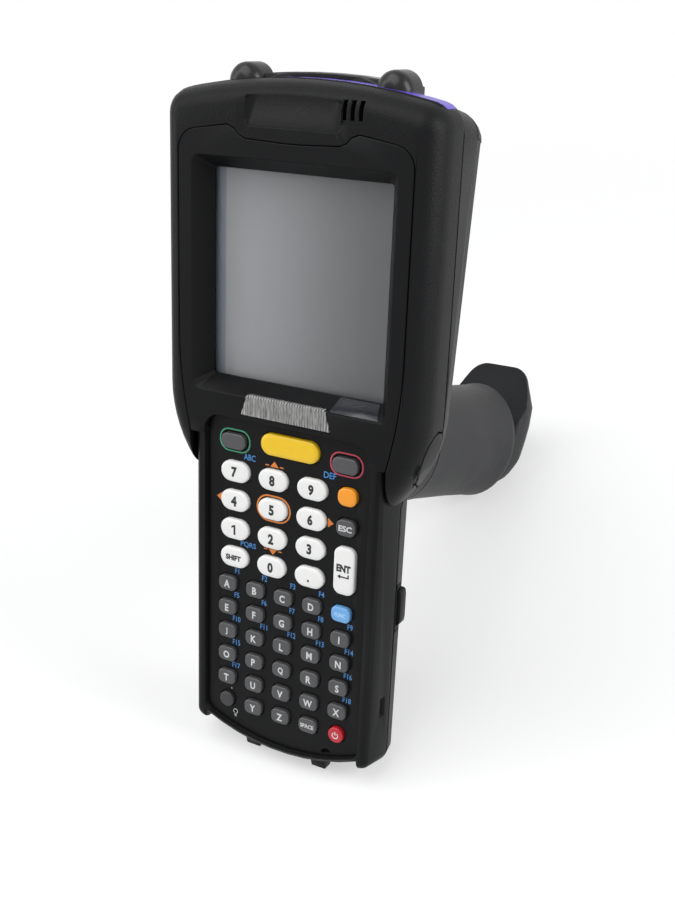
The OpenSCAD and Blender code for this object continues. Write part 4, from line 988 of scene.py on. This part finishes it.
def placed(mesh, x, y, z, turn=0):
    mesh.transform(Matrix.Translation((x, y, z)) @ Matrix.Rotation(math.radians(turn), 4, "Z"))
    return mesh


def inked(name, body, finish, meshes):
    return fitted(name, joined(name, meshes), finish, body)


capTop, plateTop = keypad["rise"], 0.0
digit = {"height": 3.2, "bold": 0.05, "point": 0.36, "pointDrop": 0.9,
         "one": [(0.0, -1.55), (0.62, -1.55), (0.62, 1.55), (0.12, 1.55), (-0.75, 1.02),
                 (-0.75, 0.42), (0.0, 0.82)]}
letter = {"height": 2.35, "bold": 0.03, "drop": 0.1}
# what stands on a key: the word, its height, width and weight, and how far up the cap it sits
words = {"shift": ("SHIFT", 1.75, 5.2, 0.055, 0), "enter": ("ENT", 2.3, 4.5, 0.055, 1.0),
         "escape": ("ESC", 1.8, 4.2, 0.03, -0.1), "blue": ("FUNC", 1.2, 3.4, 0.01, 0),
         "space": ("SPACE", 1.35, 4.5, 0.03, 0)}


def wordOn(key, x, y):
    text, height, width, bold, up = words[key]
    return placed(inkWord(text, height, width, bold), x, y + up, capTop)


for node, name in whiteKeys.items():
    x, y = keys[node][1]
    if node == "key_1":
        mark = placed(inkShape(digit["one"]), x, y, capTop)
    elif node.startswith("key_"):
        mark = placed(inkWord(node[-1], digit["height"], bold=digit["bold"]), x, y, capTop)
    elif node == "shift_key":
        mark = wordOn("shift", x, y)
    else:
        mark = placed(inkShape(disc(digit["point"])), x, y - digit["pointDrop"], capTop)
    inked(name + "Print", bodyOf[node], "inkBlack", [mark])

enter = {"arrowDrop": 1.4, "arrow": [(-1.9, -0.2), (-0.9, 0.5), (-0.9, 0.02), (1.35, 0.02),
                                     (1.35, 0.8), (1.8, 0.8), (1.8, -0.42), (-0.9, -0.42),
                                     (-0.9, -0.9)]}
x, y = keys["enter_key"][1]
arrow = placed(inkShape(enter["arrow"]), x, y - enter["arrowDrop"], capTop)
inked("enterKeyPrint", "enter_key", "inkBlack", [wordOn("enter", x, y), arrow])
inked("escapeKeyPrint", "escape_key", "inkPale", [wordOn("escape", *keys["escape_key"][1])])
inked("blueKeyPrint", "blue_key", "inkSky", [wordOn("blue", *keys["blue_key"][1])])
power = {"ring": (0.78, 1.05, 125, 415), "bar": (0.14, 0.1, 1.25)}
inked("powerKeyPrint", "power_key", "inkWhite",
      [placed(inkShape(shape), *keys["power_key"][1], capTop)
       for shape in (arcBand(*power["ring"]), block(*power["bar"]))])

letters = iter("ABCDEFGHIJKLMNOPQRSTUVWXYZ")
for line, columns in enumerate(letterColumns):
    marks = []
    for c in columns:
        x, y = letterAt(c, line)
        if (line, c) == (5, 3):
            marks.append(wordOn("space", x, y))
        else:
            mark = inkWord(next(letters), letter["height"], bold=letter["bold"])
            marks.append(placed(mark, x, y - letter["drop"], capTop))
    body = bodyOf["letter_row_%d" % (line + 1)]
    inked("letterRow%dPrint" % (line + 1), body, "inkPale", marks)

# the blue legends on the plate: function numbers beside the letter keys, and three letter groups
plateBlue = {"height": 1.75, "bold": 0.012, "squeeze": 0.8, "right": 2.75, "up": 4.15,
             "perRow": [range(4), range(5), range(5), (0, 4), (0, 4)],
             "groups": {"ABC": (-12.5, 27.0), "DEF": (13.6, 27.1), "PQRS": (-12.6, -0.2)},
             "groupHeight": 1.85, "letterWidth": 1.3}
blueMarks = []
for x, y in [letterAt(c, line) for line, row in enumerate(plateBlue["perRow"]) for c in row]:
    mark = inkWord("F%d" % (len(blueMarks) + 1), plateBlue["height"], bold=plateBlue["bold"],
                   squeeze=plateBlue["squeeze"])
    blueMarks.append(placed(mark, x + plateBlue["right"], y + plateBlue["up"], plateTop))
for word, (x, y) in plateBlue["groups"].items():
    mark = inkWord(word, plateBlue["groupHeight"], len(word) * plateBlue["letterWidth"],
                   plateBlue["bold"])
    blueMarks.append(placed(mark, x, y, plateTop))
inked("functionPrint", "housing", "inkBlue", blueMarks)


def ringMark(place, cap, gap, thick):
    # a ring on the plate, a gap away from its key's outline
    inner, outer = [roundRect(cap["Width"] + 2 * grown, cap["Height"] + 2 * grown,
                              cap["Corner"] + grown) for grown in (gap, gap + thick)]
    return placed(inkShape(outer, inner), *place, plateTop)


rings = {"five": (0.5, 0.5), "action": (0.75, 0.42)}      # gap and thickness
arrowHead = [(-1.4, -0.85), (1.4, -0.85), (0, 0.9)]
wings = [[(-3.1, -0.7), (-1.9, -0.7), (-1.7, -0.35), (-2.9, -0.35)],
         [(3.1, -0.7), (2.9, -0.35), (1.7, -0.35), (1.9, -0.7)]]
# each arrow: the key's column and line, how far right and up of it, its turn, its shapes
arrows = [((1, 0), 0, 4.55, 0, [arrowHead] + wings), ((1, 2), 0, -4.45, 180, [arrowHead] + wings),
          ((0, 1), -5.75, 0, 90, [arrowHead]), ((2, 1), 5.95, 0, -90, [arrowHead])]
orangeMarks = [ringMark(numberAt(1, 1), numberCap, *rings["five"])]
for key, right, up, turn, shapes in arrows:
    x, y = numberAt(*key)
    orangeMarks += [placed(inkShape(shape), x + right, y + up, plateTop, turn) for shape in shapes]
inked("arrowPrint", "housing", "inkOrange", orangeMarks)
for side, finish in (("left", "inkGreen"), ("right", "inkRed")):
    place = keys["action_key_" + side][1]
    inked(side + "RingPrint", "housing", finish, [ringMark(place, actionCap, *rings["action"])])

# a bulb and a dot beside the backlight key
bulb = {"right": 2.7, "up": -3.9, "glass": (0.62, 0.82, -60, 240),
        "screw": [(0.42, -1.05, -0.85), (0.42, -1.45, -1.25), (0.3, -1.85, -1.65)],
        "dot": (0.2, 1.2, 3.7)}
x, y = keys["backlight_key"][1]
bulbMarks = [placed(inkShape(shape), x + bulb["right"], y + bulb["up"], plateTop)
             for shape in [arcBand(*bulb["glass"])] + [block(*part) for part in bulb["screw"]]]
radius, right, up = bulb["dot"]
bulbMarks.append(placed(inkShape(disc(radius)), x + right, y + up, plateTop))
inked("lampPrint", "housing", "inkPale", bulbMarks)
# a near-black flat sheet on the plate at the voice notch: painted shade of its hollow
notch = {"x": 15.6, "y": -60.5, "turn": 8, "width": 1.35, "height": 1.25, "steps": 12}
notchOutline = [(notch["width"] * x, notch["height"] * y)
                for x, y in arc(1, 0, 180, notch["steps"])]
inked("voiceNotchShade", "housing", "notch",
      [placed(inkShape(notchOutline), notch["x"], notch["y"], plateTop, notch["turn"])])
print("legends printed")

# the camera's place and axes, in the terminal's own axes
studioView = {"lens": 48.0, "sensor": 36.0, "at": (159.307, 143.172, 271.801),
              "right": (0.87723774, 0.03701855, -0.47862677),
              "up": (-0.18975211, 0.9425682, -0.27488057),
              "back": (0.44096269, 0.33195605, 0.83388074)}
cameraData = bpy.data.cameras.new("studioCamera")
cameraData.lens, cameraData.sensor_width = studioView["lens"], studioView["sensor"]
camera = linked("studioCamera", cameraData)
columns = [(leanBack @ Vector(studioView[k])).normalized() for k in ("right", "up", "back")]
camera.matrix_world = (Matrix.Translation(terminalAxes @ Vector(studioView["at"]))
                       @ Matrix(columns).transposed().to_4x4())
scene.camera = camera

# pale floor: part of it is plain white to the camera, and all of it further away
floorSet = {"size": 8.0, "colour": (0.92, 0.92, 0.925), "near": 0.5, "fade": (0.14, 0.5)}


def whiteSeen(maker):
    # 1 for what the camera, a glossy surface or a clear one sees
    path = maker.tree.nodes.new("ShaderNodeLightPath")
    seen = [Wire(maker, path.outputs[k]) for k in ("Is Camera Ray", "Is Glossy Ray",
                                                   "Is Transmission Ray")]
    return seen[0].most(seen[1]).most(seen[2])


paper = Finish("paperFloor")
paper.set(Base_Color=paper.blend(paper.noise(300, 2.0), tinted(floorSet["colour"], 0.995),
                                 floorSet["colour"]), Roughness=paper.noise(90) * 0.1 + 0.85)
glow = paper.make("ShaderNodeEmission", {}, None, (1, 1, 1), 1.0)
away = paper.make("ShaderNodeVectorMath", {"operation": "LENGTH"}, "Value", paper.place)
share = away.ease(*floorSet["fade"]) * (1 - floorSet["near"]) + floorSet["near"]
sheet = paper.make("ShaderNodeMixShader", {}, None, whiteSeen(paper) * share,
                   Wire(paper, paper.shader.outputs[0]), glow)
paper.plug(paper.output.inputs[0], sheet)
finishes["paper"] = paper.material
half = floorSet["size"] / 2
floorMesh = bpy.data.meshes.new("paperFloor")
floorMesh.from_pydata([(x, y, 0) for x, y in block(half, -half, half)], [], [(0, 1, 2, 3)])
pieceFrom("paperFloor", floorMesh, "paper")

room = {"colour": (0.96, 0.98, 1.0), "strength": 0.36}
scene.world = bpy.data.worlds.new("softRoom")
scene.world.use_nodes = True
air = Maker()
air.tree = scene.world.node_tree
air.tree.nodes.clear()
dimLight = air.make("ShaderNodeBackground", {}, None, room["colour"], room["strength"])
whiteWall = air.make("ShaderNodeBackground", {}, None, (1, 1, 1), 1.0)
sky = air.make("ShaderNodeMixShader", {}, None, whiteSeen(air), dimLight, whiteWall)
air.plug(air.tree.nodes.new("ShaderNodeOutputWorld").inputs[0], sky)

lamps = {
    "topSoft": {"at": (-0.25, -0.35, 1.15), "to": (0, 0, 0.1), "size": (1.1, 0.9), "power": 9.5},
    "leftSoft": {"at": (-0.95, -0.5, 0.55), "to": (0, 0, 0.1), "size": (0.5, 0.9), "power": 3.5},
    "rightSoft": {"at": (1.0, 0.1, 0.5), "to": (0, 0, 0.1), "size": (0.5, 0.9), "power": 9.5},
}
for name, lamp in lamps.items():
    data = bpy.data.lights.new(name, "AREA")
    data.shape, data.energy = "RECTANGLE", lamp["power"]
    data.size, data.size_y = lamp["size"]
    source = linked(name, data)
    source.location = lamp["at"]
    aim = Vector(lamp["to"]) - Vector(lamp["at"])
    source.rotation_euler = aim.to_track_quat("-Z", "Y").to_euler()
scene.view_settings.view_transform = "Standard"
print("camera, floor and lamps set")
